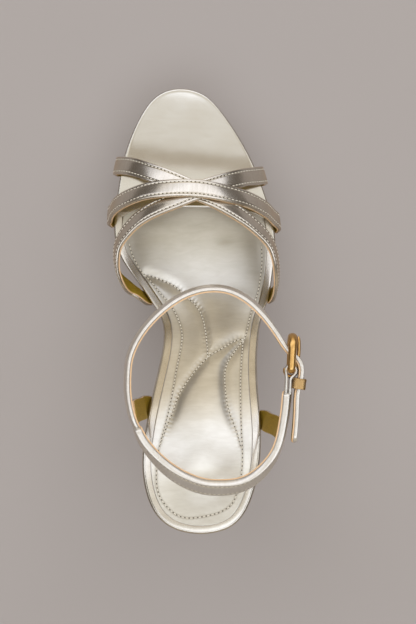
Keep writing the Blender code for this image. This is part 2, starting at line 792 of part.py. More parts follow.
def buckle_tab():
    """The thin tab that folds round the buckle's rear bar and runs back into the heel strap's end."""
    fold = BUCKLE_WIRE / 2 + GAP + TAB_THICKNESS / 2
    turns = np.radians(np.linspace(-100, 100, 9))
    bend = np.stack([-BUCKLE_HALF_LENGTH + fold * np.cos(turns), fold * np.sin(turns)], axis=1)
    local = np.array(TAB_ROOT) - BUCKLE_CENTRE[:2]
    along, _, out = fitting_axes(BUCKLE_ALONG)
    root = np.array([local @ along[:2], local @ out[:2]])
    apart = 0.75 * TAB_THICKNESS
    neck = [-BUCKLE_HALF_LENGTH - TAB_NECK - back for back in (0.0, 1.5, 3.0)]
    leg = np.stack([[*neck, root[0]], np.full(4, root[1])], axis=1)
    rows = np.concatenate([leg[::-1] - (0, apart), bend, leg + (0, apart)])
    rows = np.column_stack([rows[:, 0], 0 * rows[:, 0], rows[:, 1]])
    path = placed(along_curve(rows, TAB_STATIONS), BUCKLE_CENTRE, BUCKLE_ALONG)
    run = directions(path)
    faces = np.stack([run[:, 1], -run[:, 0], 0 * run[:, 0]], axis=1)
    return strap("buckle_tab", path, faces, TAB_WIDTH, TAB_THICKNESS, LEATHER)


def tab_slot():
    """The slot in the tab's fold that clears the prong's hook."""
    half = TAB_SLOT / 2
    low, high = -BUCKLE_HALF_LENGTH - 4.2, -BUCKLE_HALF_LENGTH + 4.0
    ring = ((-half, -4.0), (half, -4.0), (half, 4.0), (-half, 4.0))
    sections = [[(a, b, c) for b, c in ring] for a in (low, high)]
    sections = [placed(section, BUCKLE_CENTRE, BUCKLE_ALONG) for section in sections]
    return loft("tab_slot", sections, GILT)


def build_ankle():
    """Ankle strap, heel strap, side straps and buckle tab as one upper, with the prong's hole and slot cut."""
    upper = long_strap()
    boolean(upper, prong("prong_hole", PRONG_HOLE), "DIFFERENCE")
    tab = buckle_tab()
    boolean(tab, tab_slot(), "DIFFERENCE")
    boolean(upper, heel_strap(), "UNION")
    boolean(upper, tab, "UNION")
    boolean(upper, side_strap("side_strap_in", SIDE_STRAP_IN), "UNION")
    boolean(upper, side_strap("side_strap_out", SIDE_STRAP_OUT), "UNION")
    prong("buckle_prong", PRONG_WIRE)


def stand_on_origin():
    """Hangs everything on one empty, moved so that the box's bottom centre is the origin."""
    bpy.context.view_layer.update()
    graph = bpy.context.evaluated_depsgraph_get()
    corners = []
    for obj in bpy.data.objects:
        if not obj.hide_render:
            corners.extend(obj.evaluated_get(graph).bound_box)
    low, high = np.min(corners, axis=0), np.max(corners, axis=0)
    stand = bpy.data.objects.new("sandal", None)
    stand.location = (-(low[0] + high[0]) / 2, -(low[1] + high[1]) / 2, -low[2])
    bpy.context.scene.collection.objects.link(stand)
    for obj in bpy.data.objects:
        if obj is not stand:
            obj.parent = stand


def main():
    clear_scene()
    build_sole()
    build_heel()
    build_vamp()
    build_ankle()
    build_buckle()
    build_keeper()
    stand_on_origin()


main()
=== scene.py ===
"""Looks of a right-foot platform sandal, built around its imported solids.

Each piece is a smooth surface worked out from the tables that its solid was drawn from, in millimetres and
in the plan of that drawing: X to the outer side of the foot, Y to the toe, Z up. The mesh is moved into the
frame and turned to metres when it is made.
"""

import math

import bmesh
import bpy
import numpy as np
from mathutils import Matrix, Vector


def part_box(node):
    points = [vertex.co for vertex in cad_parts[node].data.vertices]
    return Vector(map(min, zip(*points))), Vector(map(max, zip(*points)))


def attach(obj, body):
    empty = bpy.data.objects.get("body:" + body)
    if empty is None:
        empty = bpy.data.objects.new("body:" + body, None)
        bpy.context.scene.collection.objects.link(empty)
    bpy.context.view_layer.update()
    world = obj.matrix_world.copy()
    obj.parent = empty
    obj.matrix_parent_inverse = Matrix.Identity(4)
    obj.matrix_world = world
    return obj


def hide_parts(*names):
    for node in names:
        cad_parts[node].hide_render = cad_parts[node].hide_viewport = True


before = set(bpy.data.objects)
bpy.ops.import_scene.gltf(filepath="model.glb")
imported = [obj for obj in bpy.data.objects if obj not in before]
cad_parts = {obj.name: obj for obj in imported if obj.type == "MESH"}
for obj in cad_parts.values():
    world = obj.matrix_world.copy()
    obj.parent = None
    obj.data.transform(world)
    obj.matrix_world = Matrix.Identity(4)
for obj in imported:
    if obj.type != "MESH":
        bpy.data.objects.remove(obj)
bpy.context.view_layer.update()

# A millimetre in metres, the room between neighbouring solids in mm, and the way up.
MM = 0.001
GAP = 0.3
UP = np.array([0.0, 0.0, 1.0])

# Plan of the footbed rim, from the back of the heel to the toe.
SOLE_OUTLINE = (
    # along, medial, lateral
    (-108.5, -3.7, -3.7),
    (-105.2, -18.3, 10.9),
    (-98.4, -26.0, 17.9),
    (-89.0, -30.3, 22.2),
    (-76.0, -32.3, 25.2),
    (-60.0, -31.3, 26.2),
    (-43.0, -28.2, 25.3),
    (-27.0, -24.7, 24.8),
    (-13.0, -22.7, 25.8),
    (-3.0, -24.4, 27.8),
    (4.0, -28.6, 30.4),
    (16.7, -37.6, 33.3),
    (28.0, -45.3, 34.8),
    (43.0, -49.2, 34.8),
    (60.0, -47.7, 30.4),
    (76.0, -45.2, 24.4),
    (93.0, -39.8, 15.2),
    (105.8, -33.0, 6.0),
    (113.2, -25.9, -2.0),
    (116.4, -14.6, -14.6),
)
HEEL_END = SOLE_OUTLINE[0][0]
TOE_END = SOLE_OUTLINE[-1][0]

# Side profile of the rim's top, and the stack of layers under it.
SEAT_BACK_HEIGHT = 100.0
SEAT_ANGLE = 10.0
SEAT_BLEND = 16.0
SHANK_ANGLE = 40.0
BALL_BREAK = 17.0
BALL_BLEND = 22.0
FOREFOOT_HEIGHT = 27.0
TOE_RISE = 5.0
TOE_RISE_FROM = 62.0
RIM_THICKNESS = 4.5
SHANK_COVER = 2.5
OUTSOLE_THICKNESS = 2.2
SHANK_STACK = RIM_THICKNESS + SHANK_COVER + OUTSOLE_THICKNESS + 2 * GAP
PLATFORM_REAR = 22.0
PLATFORM_REAR_ANGLE = 52.0
PLATFORM_BLEND = 8.0
TOE_SPRING = 6.0
TOE_SPRING_FROM = 70.0
BREAST = -60.0

# The rim's soft shoulder, and the fine line that the heel's cover leaves along its edge at the back.
SHOULDER_DROP = (
    # along, drop
    (-70.0, 0.9),
    (-50.0, 0.12),
    (45.0, 0.12),
    (90.0, 0.0),
)
SHOULDER_REACH = 4.8
EDGE_SQUARENESS = 0.5
RIM_SOFT_BEFORE = 52.0
RAND_ANGLE = 77.0
RAND_SPREAD = 4.0
RAND_DEPTH = 0.08
RAND_FROM = -38.0
RAND_RUN = 24.0

# Edges of the platform and the outsole: radius of the rounds, inset at the foot and inset at the top.
PLATFORM_EDGE = (1.4, 1.3, 0.3)
OUTSOLE_EDGE = (0.6, 2.4, 2.2)
# The most of a layer's height that the rounds of its edge may take up.
LAYER_SHARE = 0.45

# The padded sock, set in from the rim, with a bowed front edge and a blunt nose.
SOCK_INSET = 4.2
SOCK_FRONT = 50.0
SOCK_FRONT_BOW = 6.0
SOCK_BOW_ONSET = 12
SOCK_BOW_FULLNESS = 4
SOCK_NOSE = 0.5
SOCK_EDGE = 1.3
SOCK_EDGE_ROUND = 0.45
# Height of its foam: at the edge, in the dish under the ball, under the shank, and what the heel adds.
PAD_EDGE = 0.3
PAD_BALL = -0.5
PAD_FULL = 1.9
PAD_FULL_FROM = 14.0
PAD_FULL_RUN = 26.0
PAD_HEEL = 1.1
PAD_HEEL_FROM = -57.0
PAD_HEEL_RUN = 30.0
PAD_BACK_RISE = 24.0
# Sewn lines of the padded sock in plan.
SOCK_SEAMS = {
    "edge": (
        (-41.3, 36.0), (-39.9, 31.1), (-37.4, 25.5), (-34.9, 21.3), (-31.4, 17.7), (-24.8, 9.8), (-18.9, 2.9),
        (-14.9, -4.8), (-13.4, -10.2), (-13.9, -19.1), (-15.6, -27.7), (-17.6, -39.4), (-20.7, -53.7),
        (-24.3, -68.5), (-25.3, -79.8), (-23.9, -89.3), (-19.7, -95.4), (-13.6, -99.7), (-6.0, -100.3),
        (0.0, -99.3), (9.0, -96.0), (12.4, -92.6), (13.8, -89.3), (16.6, -77.2), (16.9, -71.8), (16.4, -56.2),
        (16.2, -43.5), (16.4, -32.6), (16.9, -25.1), (17.8, -15.3),
    ),
    "outer_edge": (
        (27.8, 34.6), (28.1, 26.1), (27.4, 19.2), (26.3, 12.1), (24.8, 6.7), (22.5, 0.7), (18.8, -13.2),
        (17.8, -15.6),
    ),
    "arch": (
        (-31.4, 19.2), (-24.1, 16.6), (-16.7, 12.8), (-10.6, 7.4), (-4.6, 1.1), (-2.3, -4.8), (-1.1, -11.0),
        (-0.1, -22.7),
    ),
    "instep": ((-0.1, -22.9), (3.2, -20.6), (7.5, -18.3), (11.3, -16.0), (15.3, -14.2), (18.0, -14.1)),
    "inner_wave": (
        (-0.1, -22.9), (-3.9, -26.7), (-9.3, -33.4), (-13.6, -39.9), (-15.6, -44.0), (-17.0, -48.5),
        (-18.7, -52.5), (-20.6, -57.2), (-22.3, -61.8), (-23.5, -65.6),
    ),
    "outer_wave": (
        (18.0, -14.2), (13.2, -20.5), (9.2, -27.2), (8.4, -33.1), (8.8, -40.4), (10.1, -48.3), (12.6, -55.0),
        (14.6, -61.0), (16.3, -67.2),
    ),
}
# How each line pulls the padding down: spread of its bell, depth of the pull, depth of its puckers and the
# length over which it dies out at its far end, in mm.
SEAM_PULL = {
    "edge": (2.0, 0.1, 0.02, 0.0),
    "outer_edge": (2.0, 0.1, 0.015, 0.0),
    "arch": (2.6, 0.5, 0.11, 0.0),
    "instep": (3.5, 0.6, 0.05, 0.0),
    "inner_wave": (2.7, 0.75, 0.1, 20.0),
    "outer_wave": (2.5, 0.7, 0.06, 16.0),
}
PUCKER_AWAY = 1.1
PUCKER_SPREAD = 0.9

# How dark the sock's skin is painted, as painted shade: along the thread, in the pulled folds, over the ball
# and in spots where shade and the straps' dark reflection fall.
SOCK_SHADE = 0.55
THREAD_SHADE_SPREAD = 0.8
FOLD_SHADE = 0.8
BALL_SHADE = 0.62
BALL_SHADE_FROM = 2.0
BALL_SHADE_RUN = 22.0
PAINTED_SHADE_SPOTS = (
    # across, along, half width, half length, depth of shade
    (8.9, 36.5, 4.8, 2.6, 0.5),
    (-27.0, 46.0, 9.0, 3.5, 0.4),
    (-2.0, 45.0, 10.0, 3.0, 0.18),
    (-4.0, -92.0, 16.0, 8.5, 0.5),
)

# The heel: the seat's plan drawn in towards the floor, on a rubber top piece.
TOP_PIECE_HEIGHT = 6.0
TOP_PIECE_DRAW_IN = 0.03
HEEL_CENTRE = (-3.0, -82.0)
HEEL_ROWS = (
    # share of the height, width, length and backward shift of the seat's plan
    (0.00, 0.60, 0.61, 0.0),
    (0.20, 0.60, 0.61, 0.0),
    (0.45, 0.63, 0.65, 0.3),
    (0.65, 0.71, 0.73, 0.6),
    (0.80, 0.82, 0.85, 1.0),
    (0.90, 0.91, 0.95, 1.2),
    (0.96, 0.97, 1.00, 1.0),
    (1.00, 0.985, 0.99, 0.0),
)
HEEL_INSET = 0.3
HEEL_CORNER_EASE = 2.4
HEEL_ROW_CROWDING = 1.4

# The toe straps: sizes, and paths that run from seam to seam over the foot. A seam is its side, its place
# along the foot and the strap's lean there.
STRAP_THICKNESS = 2.2
STRAP_END_THICKNESS = 1.1
STRAP_END_TAPER = 4.0
VAMP_STRAP_WIDTH = 9.5
MEDIAL, LATERAL = 0, 1
STRAP_FRONT_IN = {
    "start": (MEDIAL, 75.5, 0.0),
    "over": (
        # x, y, z
        (-42.8, 75.4, 42.0), (-38.3, 74.4, 47.0), (-31.1, 71.8, 52.5), (-23.4, 69.0, 56.3),
        (-15.2, 65.5, 58.6), (-6.1, 61.3, 59.8), (3.0, 57.2, 59.6), (12.2, 52.0, 59.0), (19.3, 47.3, 57.8),
        (25.4, 42.2, 56.2), (31.6, 35.2, 53.5), (34.9, 24.6, 49.5), (35.4, 18.5, 45.5),
    ),
    "end": (LATERAL, 8.3, 0.45),
}
STRAP_FRONT_OUT = {
    "start": (LATERAL, 70.3, 0.0),
    "over": (
        (24.2, 70.1, 39.5), (18.5, 69.0, 46.5), (12.3, 67.3, 52.3), (4.1, 64.7, 57.6), (-6.1, 61.1, 61.6),
        (-15.2, 57.2, 62.0), (-24.3, 53.4, 61.2), (-32.2, 49.3, 59.8), (-38.1, 44.7, 58.0),
        (-41.9, 40.5, 56.3), (-45.6, 34.7, 54.0), (-46.8, 27.6, 51.5), (-46.3, 21.5, 49.0),
        (-43.9, 15.9, 46.0), (-39.2, 11.6, 41.0),
    ),
    "end": (MEDIAL, 7.5, 0.34),
}
STRAP_MIDDLE = {
    "start": (MEDIAL, 48.7, 0.2),
    "over": (
        (-50.5, 51.0, 34.5), (-49.4, 52.8, 40.0), (-46.0, 55.8, 47.5), (-39.0, 59.0, 54.6),
        (-31.3, 61.3, 58.6), (-23.2, 62.3, 61.3), (-14.1, 62.7, 62.8), (-5.0, 62.4, 62.9),
        (3.0, 61.3, 61.4), (10.1, 59.9, 58.6), (18.9, 57.8, 53.4), (26.7, 54.6, 46.2), (31.7, 51.5, 38.8),
        (34.8, 48.7, 32.5),
    ),
    "end": (LATERAL, 45.6, 0.2),
}
# A toe strap faces away from a line inside the foot, and its face is swept towards the heel or the toe.
FOOT_CORE_X = -7.0
FOOT_CORE_HEIGHT = ((-20.0, 62.0), (10.0, 47.0), (45.0, 41.0), (80.0, 35.0))
FOOT_FACE_LEAN = 0.35
FOOT_FACE_SWEEP = ((8.0, -0.35), (40.0, 0.0), (75.0, 0.26))
# How a strap leaves its seam, and the length over which it turns to lie along the rim.
SEAM_STEPS = (
    # out from the rim's edge, up from the seam
    (0.5, 0.1),
    (1.9, 3.2),
    (2.4, 6.6),
)
SEAM_SETTLE = 16.0

# The ankle strap with its free end, the heel strap behind the foot, and the two side straps.
ANKLE_HEIGHT = 171.0
ANKLE_STRAP_WIDTH = 9.4
ANKLE_STRAP_THICKNESS = 2.3
ANKLE_TAIL_THICKNESS = 2.5
ANKLE_STRAP_LEAN = 10.0
ANKLE_ENDS = (3.0, 3.5)
ANKLE_START_DIP = 1.3
ANKLE_START_RUN = 7.0
ANKLE_TAIL_FROM = (0.55, 0.65)
ANKLE_LEAN_UNTIL = 0.72
ANKLE_LEAN_RUN = 0.12
HEEL_STRAP_THICKNESS = 3.6
HEEL_STRAP_ENDS = (3.0, 3.0)
ANKLE_STRAP = (
    # x, y
    (-31.6, -53.6), (-33.4, -50.0), (-35.4, -43.3), (-36.4, -36.4), (-36.4, -28.1), (-35.4, -20.4),
    (-33.3, -14.9), (-29.1, -8.0), (-22.9, -1.1), (-16.0, 4.5), (-9.0, 8.3), (0.6, 10.6), (9.0, 9.9),
    (15.8, 6.9), (21.4, 2.6), (27.0, -3.9), (32.3, -12.0), (35.6, -16.8), (38.3, -19.5), (40.6, -21.6),
    (41.9, -24.0), (42.2, -27.2), (41.7, -30.6), (40.7, -34.6), (39.9, -45.0), (38.8, -59.2),
)
HEEL_STRAP = (
    # x, y, z, lean of the face in degrees
    (-32.4, -51.6, 171.0, 6.0), (-29.8, -57.6, 170.6, 12.0), (-23.8, -65.7, 170.0, 20.0),
    (-16.2, -72.6, 169.4, 29.0), (-8.9, -76.8, 169.0, 34.0), (-1.2, -79.3, 168.8, 36.0),
    (6.4, -79.7, 168.8, 36.0), (13.0, -78.9, 169.0, 32.0), (19.6, -76.1, 169.4, 26.0),
    (26.0, -70.4, 170.0, 18.0), (30.9, -62.7, 170.6, 9.0), (33.7, -52.9, 171.0, 8.0),
    (35.2, -43.4, 171.0, 9.0), (35.9, -35.4, 171.0, 9.0),
)
SIDE_STRAP_SLANT = 40.0
SIDE_STRAP_IN = {
    "width": 11.0,
    "seam": (MEDIAL, -47.6, 0.0),
    "over": (
        (-31.8, -47.0, 100.0),
        (-33.3, -46.4, 130.0),
        (-33.9, -46.0, 155.0),
        (-33.7, -45.8, 170.5),
    ),
}
SIDE_STRAP_OUT = {
    "width": 9.8,
    "seam": (LATERAL, -53.8, 0.0),
    "over": (
        (29.2, -53.6, 106.0),
        (31.6, -53.4, 133.0),
        (32.8, -53.2, 156.0),
        (32.9, -53.0, 170.5),
    ),
}
# The side straps face away from the middle of the heel.
HEEL_CORE = (-2.0, -38.0)
HEEL_TURN = 0.7

# The gilt fittings: the buckle's frame, fuller at its front, its prong and its tab, and the keeper.
BUCKLE_CENTRE = (37.9, -18.8, ANKLE_HEIGHT)
BUCKLE_ALONG = (0.055, 0.998)
BUCKLE_HALF_LENGTH = 7.7
BUCKLE_HALF_HEIGHT = 6.6
BUCKLE_FRONT_CORNER = 5.2
BUCKLE_REAR_CORNER = 1.6
BUCKLE_WIRE = 2.8
BUCKLE_BREADTH = 1.28
BUCKLE_FULLER = 0.16
BUCKLE_FULLER_FROM = -1.0
BUCKLE_FULLER_RUN = 7.0
PRONG_WIRE = 1.7
PRONG_TIP_REACH = 8.0
PRONG_BOW = 0.5
PRONG_POINT = 0.75
PRONG_POINT_RUN = 2.2
TAB_THICKNESS = 1.2
TAB_WIDTH = 9.0
TAB_ROOT = (36.0, -37.2)
TAB_NECK = 4.0
TAB_TRIM = 0.1
TAB_LEAF_APART = 0.75
TAB_SLOT = 3.4
TAB_SLOT_REACH = 4.2
KEEPER_CENTRE = (41.1, -32.4, ANKLE_HEIGHT)
KEEPER_ALONG = (0.14, 0.99)
KEEPER_HALF_REACH = 2.7
KEEPER_HALF_HEIGHT = 5.8
KEEPER_CORNER = 1.2
KEEPER_BAND = 4.8
KEEPER_SHEET = 0.9
KEEPER_SHEET_CORNER = 0.3
KNURL_PITCH = 0.9
KNURL_DEPTH = 0.09
KNURL_SINK = 1.2
KNURL_HALF_WIDTH = 1.7

# A strap is an outer leather turned in at its edges, on a lining with a raw edge, sewn along both edges.
LINING_SHEET = 0.65
LINING_INSET = 0.25
LINING_KEEPS_OFF = 0.35
OUTER_LEAST = 0.4
EDGE_ROLL = 0.45
END_SQUARENESS = 0.8
END_WALL_ROUND = 1.0
STRAP_DOME = 0.22
SEWING_INSET = 1.6
SEWING_GROOVE = 0.2
SEWING_GROOVE_SPREAD = 0.34
# How much of the groove's painted shade goes into the strap's tone.
SEWING_SHADE = 0.45
SEWING_END = 0.5
STITCH_PITCH = 2.1
STITCH_LENGTH = 1.45
STITCH_RADIUS = 0.27
STITCH_RISE = 0.06
STITCH_SIZES = (STITCH_LENGTH / 2, STITCH_RADIUS, 0.8 * STITCH_RADIUS)
NEEDLE_HOLE_SIZES = (0.44, 0.3, 0.11)
SOCK_STITCH_SINK = 0.02
ANKLE_STITCH_SINK = 0.16
PUNCHED_HOLE_SIZES = (0.9, 0.9, 0.1)
PUNCHED_HOLE_PLACES = (8.0, 14.5)
# Small turned shapes, as shares of their sizes: place along the axis and radius there.
STITCH_SHAPE = ((-1.0, 0.0), (-0.86, 0.62), (-0.5, 1.0), (0.5, 1.0), (0.86, 0.62), (1.0, 0.0))
NEEDLE_HOLE_SHAPE = ((-1.0, 0.0), (-0.7, 0.72), (0.0, 1.0), (0.7, 0.72), (1.0, 0.0))
PUNCHED_HOLE_SHAPE = ((-1.0, 0.0), (-0.8, 0.6), (-0.4, 0.92), (0.0, 1.0), (0.4, 0.92), (0.8, 0.6), (1.0, 0.0))
BEAD_SIDES = 6

# Where the photograph was taken from: above the ankle, looking straight down.
CAMERA_HEIGHT = 1.1
CAMERA_FOCAL = 2051.0
PICTURE_HEIGHT = 624
SENSOR_HEIGHT = 24.0

# The studio: a wide table, a bank of lamps over it, turned a little from the foot's line, and a dim surround
# with a paler wall.
FLOOR_REACH = 30.0
FLOOR_DROP = 0.0002
FLOOR_GLOW = 0.22
BANK_HEIGHT = 1.6
BANK_TURN = 18.0
SURROUND_TONE = (0.1, 0.078, 0.056, 1.0)
WALL_TONE = (0.95, 0.81, 0.585, 1.0)


def frame_shift():
    """The move from the drawing's plan to the frame, found from the keeper, whose loop is even both
    ways."""
    low, high = (np.array(corner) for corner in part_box("strap_keeper"))
    shift = (low + high) / 2 / MM - KEEPER_CENTRE
    return np.array([shift[0], shift[1], 0.0])


SHIFT = frame_shift()


def spline(knots, values, at):
    """Natural cubic spline through the values (one row per knot), read at the given places."""
    knots, values, at = (np.asarray(v, float) for v in (knots, values, at))
    count = len(knots)
    step = np.diff(knots)
    slopes = np.diff(values, axis=0) / step[:, None]
    system = np.eye(count)
    inner = np.arange(1, count - 1)
    system[inner, inner - 1] = step[:-1]
    system[inner, inner] = 2 * (step[:-1] + step[1:])
    system[inner, inner + 1] = step[1:]
    right = np.zeros((count, values.shape[1]))
    right[1:-1] = 6 * np.diff(slopes, axis=0)
    bend = np.linalg.solve(system, right)
    i = np.clip(np.searchsorted(knots, at, side="right") - 1, 0, count - 2)
    h = step[i][:, None]
    a = (knots[i + 1] - at)[:, None]
    b = (at - knots[i])[:, None]
    curve = (bend[i] * a**3 + bend[i + 1] * b**3) / (6 * h)
    return curve + (values[i] / h - bend[i] * h / 6) * a + (values[i + 1] / h - bend[i + 1] * h / 6) * b


def lengths(path):
    """How far along the path each of its points lies."""
    return np.concatenate([[0], np.cumsum(np.linalg.norm(np.diff(path, axis=0), axis=1))])


def unit(rows):
    """Rows of vectors, each at unit length."""
    return rows / np.linalg.norm(rows, axis=1)[:, None]


def directions(path):
    """The unit direction along a path at each of its points."""
    return unit(np.gradient(path, axis=0))


def square_to(faces, run):
    """The face directions with their share along the run taken out, at unit length."""
    return unit(faces - run * np.sum(faces * run, axis=1)[:, None])


def evenly(rows, stops):
    """The rows of a polyline read at distances along it."""
    run = lengths(rows[:, :3])
    return np.stack([np.interp(stops, run, column) for column in rows.T], axis=1)


def along_curve(rows, count):
    """Points a like distance apart on a smooth curve through the rows, whose first columns are x, y, z."""
    rows = np.asarray(rows, float)
    knots = lengths(rows[:, :3])
    fine = spline(knots, rows, np.linspace(0, knots[-1], 12 * count))
    return evenly(fine, np.linspace(0, lengths(fine[:, :3])[-1], count))


def smooth_step(value):
    """Rises from 0 to 1 with level ends as the value goes from 0 to 1."""
    value = np.clip(value, 0, 1)
    return value * value * (3 - 2 * value)


def soft_min(a, b, blend):
    """The lower of two heights, rounded where they are within the blend of each other."""
    near = np.maximum(blend - np.abs(a - b), 0) / blend
    return np.minimum(a, b) - near**2 * blend / 4


def soft_max(a, b, blend):
    """The higher of two heights, rounded in the same way."""
    return -soft_min(-a, -b, blend)


def rim_top(y):
    """Height of the rim's top: seat, shank and forefoot runs with rounded breaks, rising at the toe."""
    y = np.asarray(y, float)
    seat = SEAT_BACK_HEIGHT - math.tan(math.radians(SEAT_ANGLE)) * (y - HEEL_END)
    shank = FOREFOOT_HEIGHT + math.tan(math.radians(SHANK_ANGLE)) * (BALL_BREAK - y)
    rising = np.maximum(0, (y - TOE_RISE_FROM) / (TOE_END - TOE_RISE_FROM))
    forefoot = FOREFOOT_HEIGHT + TOE_RISE * rising**2
    return soft_min(seat, soft_max(shank, forefoot, BALL_BLEND), SEAT_BLEND)


def slope_of(height, y):
    """Slope of a height curve: its rise over the millimetre about y."""
    return height(y + 0.5) - height(y - 0.5)


def below_rim(y, depth):
    """Height of the curve that lies the depth under the rim's top, square to its slope."""
    return rim_top(y) - depth * np.sqrt(1 + slope_of(rim_top, y) ** 2)


def sole_low(y):
    """Underside of the outsole: flat under the ball, sprung at the toe, rising at the back to the shank."""
    y = np.asarray(y, float)
    spring = TOE_SPRING * np.maximum(0, (y - TOE_SPRING_FROM) / (TOE_END - TOE_SPRING_FROM)) ** 2
    back = math.tan(math.radians(PLATFORM_REAR_ANGLE)) * (PLATFORM_REAR - y)
    return soft_min(below_rim(y, SHANK_STACK), soft_max(spring, back, PLATFORM_BLEND), PLATFORM_BLEND)


def outsole_high(y):
    """Upper face of the outsole: its thickness above the underside, square to the slope."""
    return sole_low(y) + OUTSOLE_THICKNESS * np.sqrt(1 + slope_of(sole_low, y) ** 2)


def station_of(y):
    """The outline's running value, 0 at the heel and 1 at the toe, which crowds stations at both ends."""
    middle, reach = (HEEL_END + TOE_END) / 2, (TOE_END - HEEL_END) / 2
    return np.arccos(np.clip((middle - np.asarray(y, float)) / reach, -1, 1)) / math.pi


def sole_stations(first, last, count):
    """Stations at even steps of the running value, between two places along the foot."""
    return np.linspace(float(station_of(first)), float(station_of(last)), count)


def rim_plan(stations):
    """Plan points of the rim's two edges at the stations: a spline across, a cosine run along the foot."""
    table = np.array(SOLE_OUTLINE)
    x = spline(station_of(table[:, 0]), table[:, 1:], stations)
    y = (HEEL_END + TOE_END) / 2 - (TOE_END - HEEL_END) / 2 * np.cos(math.pi * stations)
    return np.stack([x[:, 0], y], axis=1), np.stack([x[:, 1], y], axis=1)


def rim_edges(stations):
    """Plan points of the rim's two edges at the stations, and the directions that point out of them."""
    step = 1e-4
    before = rim_plan(np.clip(stations - step, 0, 1))
    after = rim_plan(np.clip(stations + step, 0, 1))
    outward = []
    for side, turn in ((MEDIAL, -1), (LATERAL, 1)):
        run = unit(after[side] - before[side])
        outward.append(turn * np.stack([run[:, 1], -run[:, 0]], axis=1))
    return rim_plan(stations), outward


def seam_point(side, y, out, up):
    """A point by the seam under the rim: out from the rim's edge in plan, and up from the seam."""
    edges, outward = rim_edges(station_of(np.array([y])))
    x, y = edges[side][0] + out * outward[side][0]
    return (x, y, float(below_rim(y, RIM_THICKNESS)) - GAP / 2 + up)


def nearest_on(lines, points):
    """Distance in plan from each point to the nearest of the lines, and how far along that line it is."""
    best = np.full(points.shape[:-1], 1e9)
    run = np.zeros(points.shape[:-1])
    for line in lines:
        line = np.asarray(line, float)
        starts = lengths(line)
        for first, second, start in zip(line[:-1], line[1:], starts):
            piece = second - first
            share = np.clip((points - first) @ piece / (piece @ piece), 0, 1)
            away = np.linalg.norm(points - first - share[..., None] * piece, axis=-1)
            closer = away < best
            best = np.where(closer, away, best)
            run = np.where(closer, start + share * np.linalg.norm(piece), run)
    return best, run


def linear(code):
    """An sRGB hex colour as the linear values that shaders take."""
    parts = np.array([int(code[i : i + 2], 16) for i in (1, 3, 5)]) / 255
    return (*np.where(parts <= 0.04045, parts / 12.92, ((parts + 0.055) / 1.055) ** 2.4), 1.0)


def node(tree, kind, values=None, links=None):
    """Adds a shader node to a tree: values set its sockets or its own settings, and links feed its sockets
    from another socket, or from the first live socket of another node."""
    made = tree.nodes.new("ShaderNode" + kind)
    for name, value in (values or {}).items():
        if isinstance(name, int) or name in made.inputs:
            made.inputs[name].default_value = value
        else:
            setattr(made, name, value)
    for name, source in (links or {}).items():
        if isinstance(source, bpy.types.Node):
            source = next(socket for socket in source.outputs if socket.enabled)
        tree.links.new(source, made.inputs[name])
    return made


def blank_finish(name):
    """A new material, its empty tree, and the place on the piece that its patterns read."""
    made = bpy.data.materials.new(name)
    made.use_nodes = True
    made.node_tree.nodes.clear()
    return made, made.node_tree, node(made.node_tree, "TexCoord").outputs["Object"]


def per_metre(size_mm):
    """How many times a pattern of that size in millimetres repeats in a metre."""
    return 1 / (size_mm * MM)


def foil_leather(name, tones, gloss, streak, grain, swell, coat, metal=0.9):
    """Kid leather under a metal foil: two close tones in soft clouds, pulled towards the third tone by the
    piece's sewn values, which are painted shade, a roughness that wanders between the two gloss values,
    rubbed streaks, a fine grain and a slow swell. A streak is its two sizes on the leather's lay and its
    depth, grain and swell are size and depth, all in mm."""
    made, tree, place = blank_finish(name)
    clouds = node(tree, "TexNoise", {"Scale": per_metre(13), "Detail": 2.0}, {"Vector": place})
    lay = node(tree, "Attribute", {"attribute_name": "lay"}).outputs["Vector"]
    sizes = (per_metre(streak[0]), per_metre(streak[1]), per_metre(streak[1]))
    drawn = node(tree, "Mapping", {"Scale": sizes}, {"Vector": lay})
    rubbed = node(tree, "TexNoise", {"Scale": 1.0, "Detail": 3.0, "Distortion": 0.8}, {"Vector": drawn})
    spread = node(tree, "Math", {"operation": "ADD"}, {0: clouds, 1: rubbed})
    mixed = node(tree, "MapRange", {"From Min": 0.7, "From Max": 1.3}, {"Value": spread})
    tone = node(tree, "Mix", {"data_type": "RGBA", 6: linear(tones[0]), 7: linear(tones[1])}, {0: mixed})
    # The sewn values pull the tone towards the third one: painted shade.
    sewn = node(tree, "Attribute", {"attribute_name": "sewn"}).outputs["Fac"]
    painted_shade_tone = node(tree, "Mix", {"data_type": "RGBA", 7: linear(tones[2])}, {0: sewn, 6: tone})
    handling = node(tree, "TexNoise", {"Scale": per_metre(9), "Detail": 1.0}, {"Vector": place})
    rough = node(tree, "MapRange", {"To Min": gloss[0], "To Max": gloss[1]}, {"Value": handling})
    slow = node(tree, "TexNoise", {"Scale": per_metre(swell[0]), "Detail": 1.5}, {"Vector": place})
    waves = node(tree, "Bump", {"Distance": swell[1] * MM}, {"Height": slow})
    lines = node(tree, "Bump", {"Distance": streak[2] * MM}, {"Height": rubbed, "Normal": waves})
    cells = node(tree, "TexNoise", {"Scale": per_metre(grain[0]), "Detail": 2.0}, {"Vector": place})
    pores = node(tree, "Bump", {"Distance": grain[1] * MM}, {"Height": cells, "Normal": lines})
    shader = node(
        tree,
        "BsdfPrincipled",
        {
            "Metallic": metal,
            "Specular Tint": linear("#F2DFC6"),
            "Coat Weight": coat[0],
            "Coat Roughness": coat[1],
            "Coat IOR": coat[2],
        },
        {"Base Color": painted_shade_tone, "Roughness": rough, "Normal": pores},
    )
    node(tree, "OutputMaterial", None, {"Surface": shader})
    return made


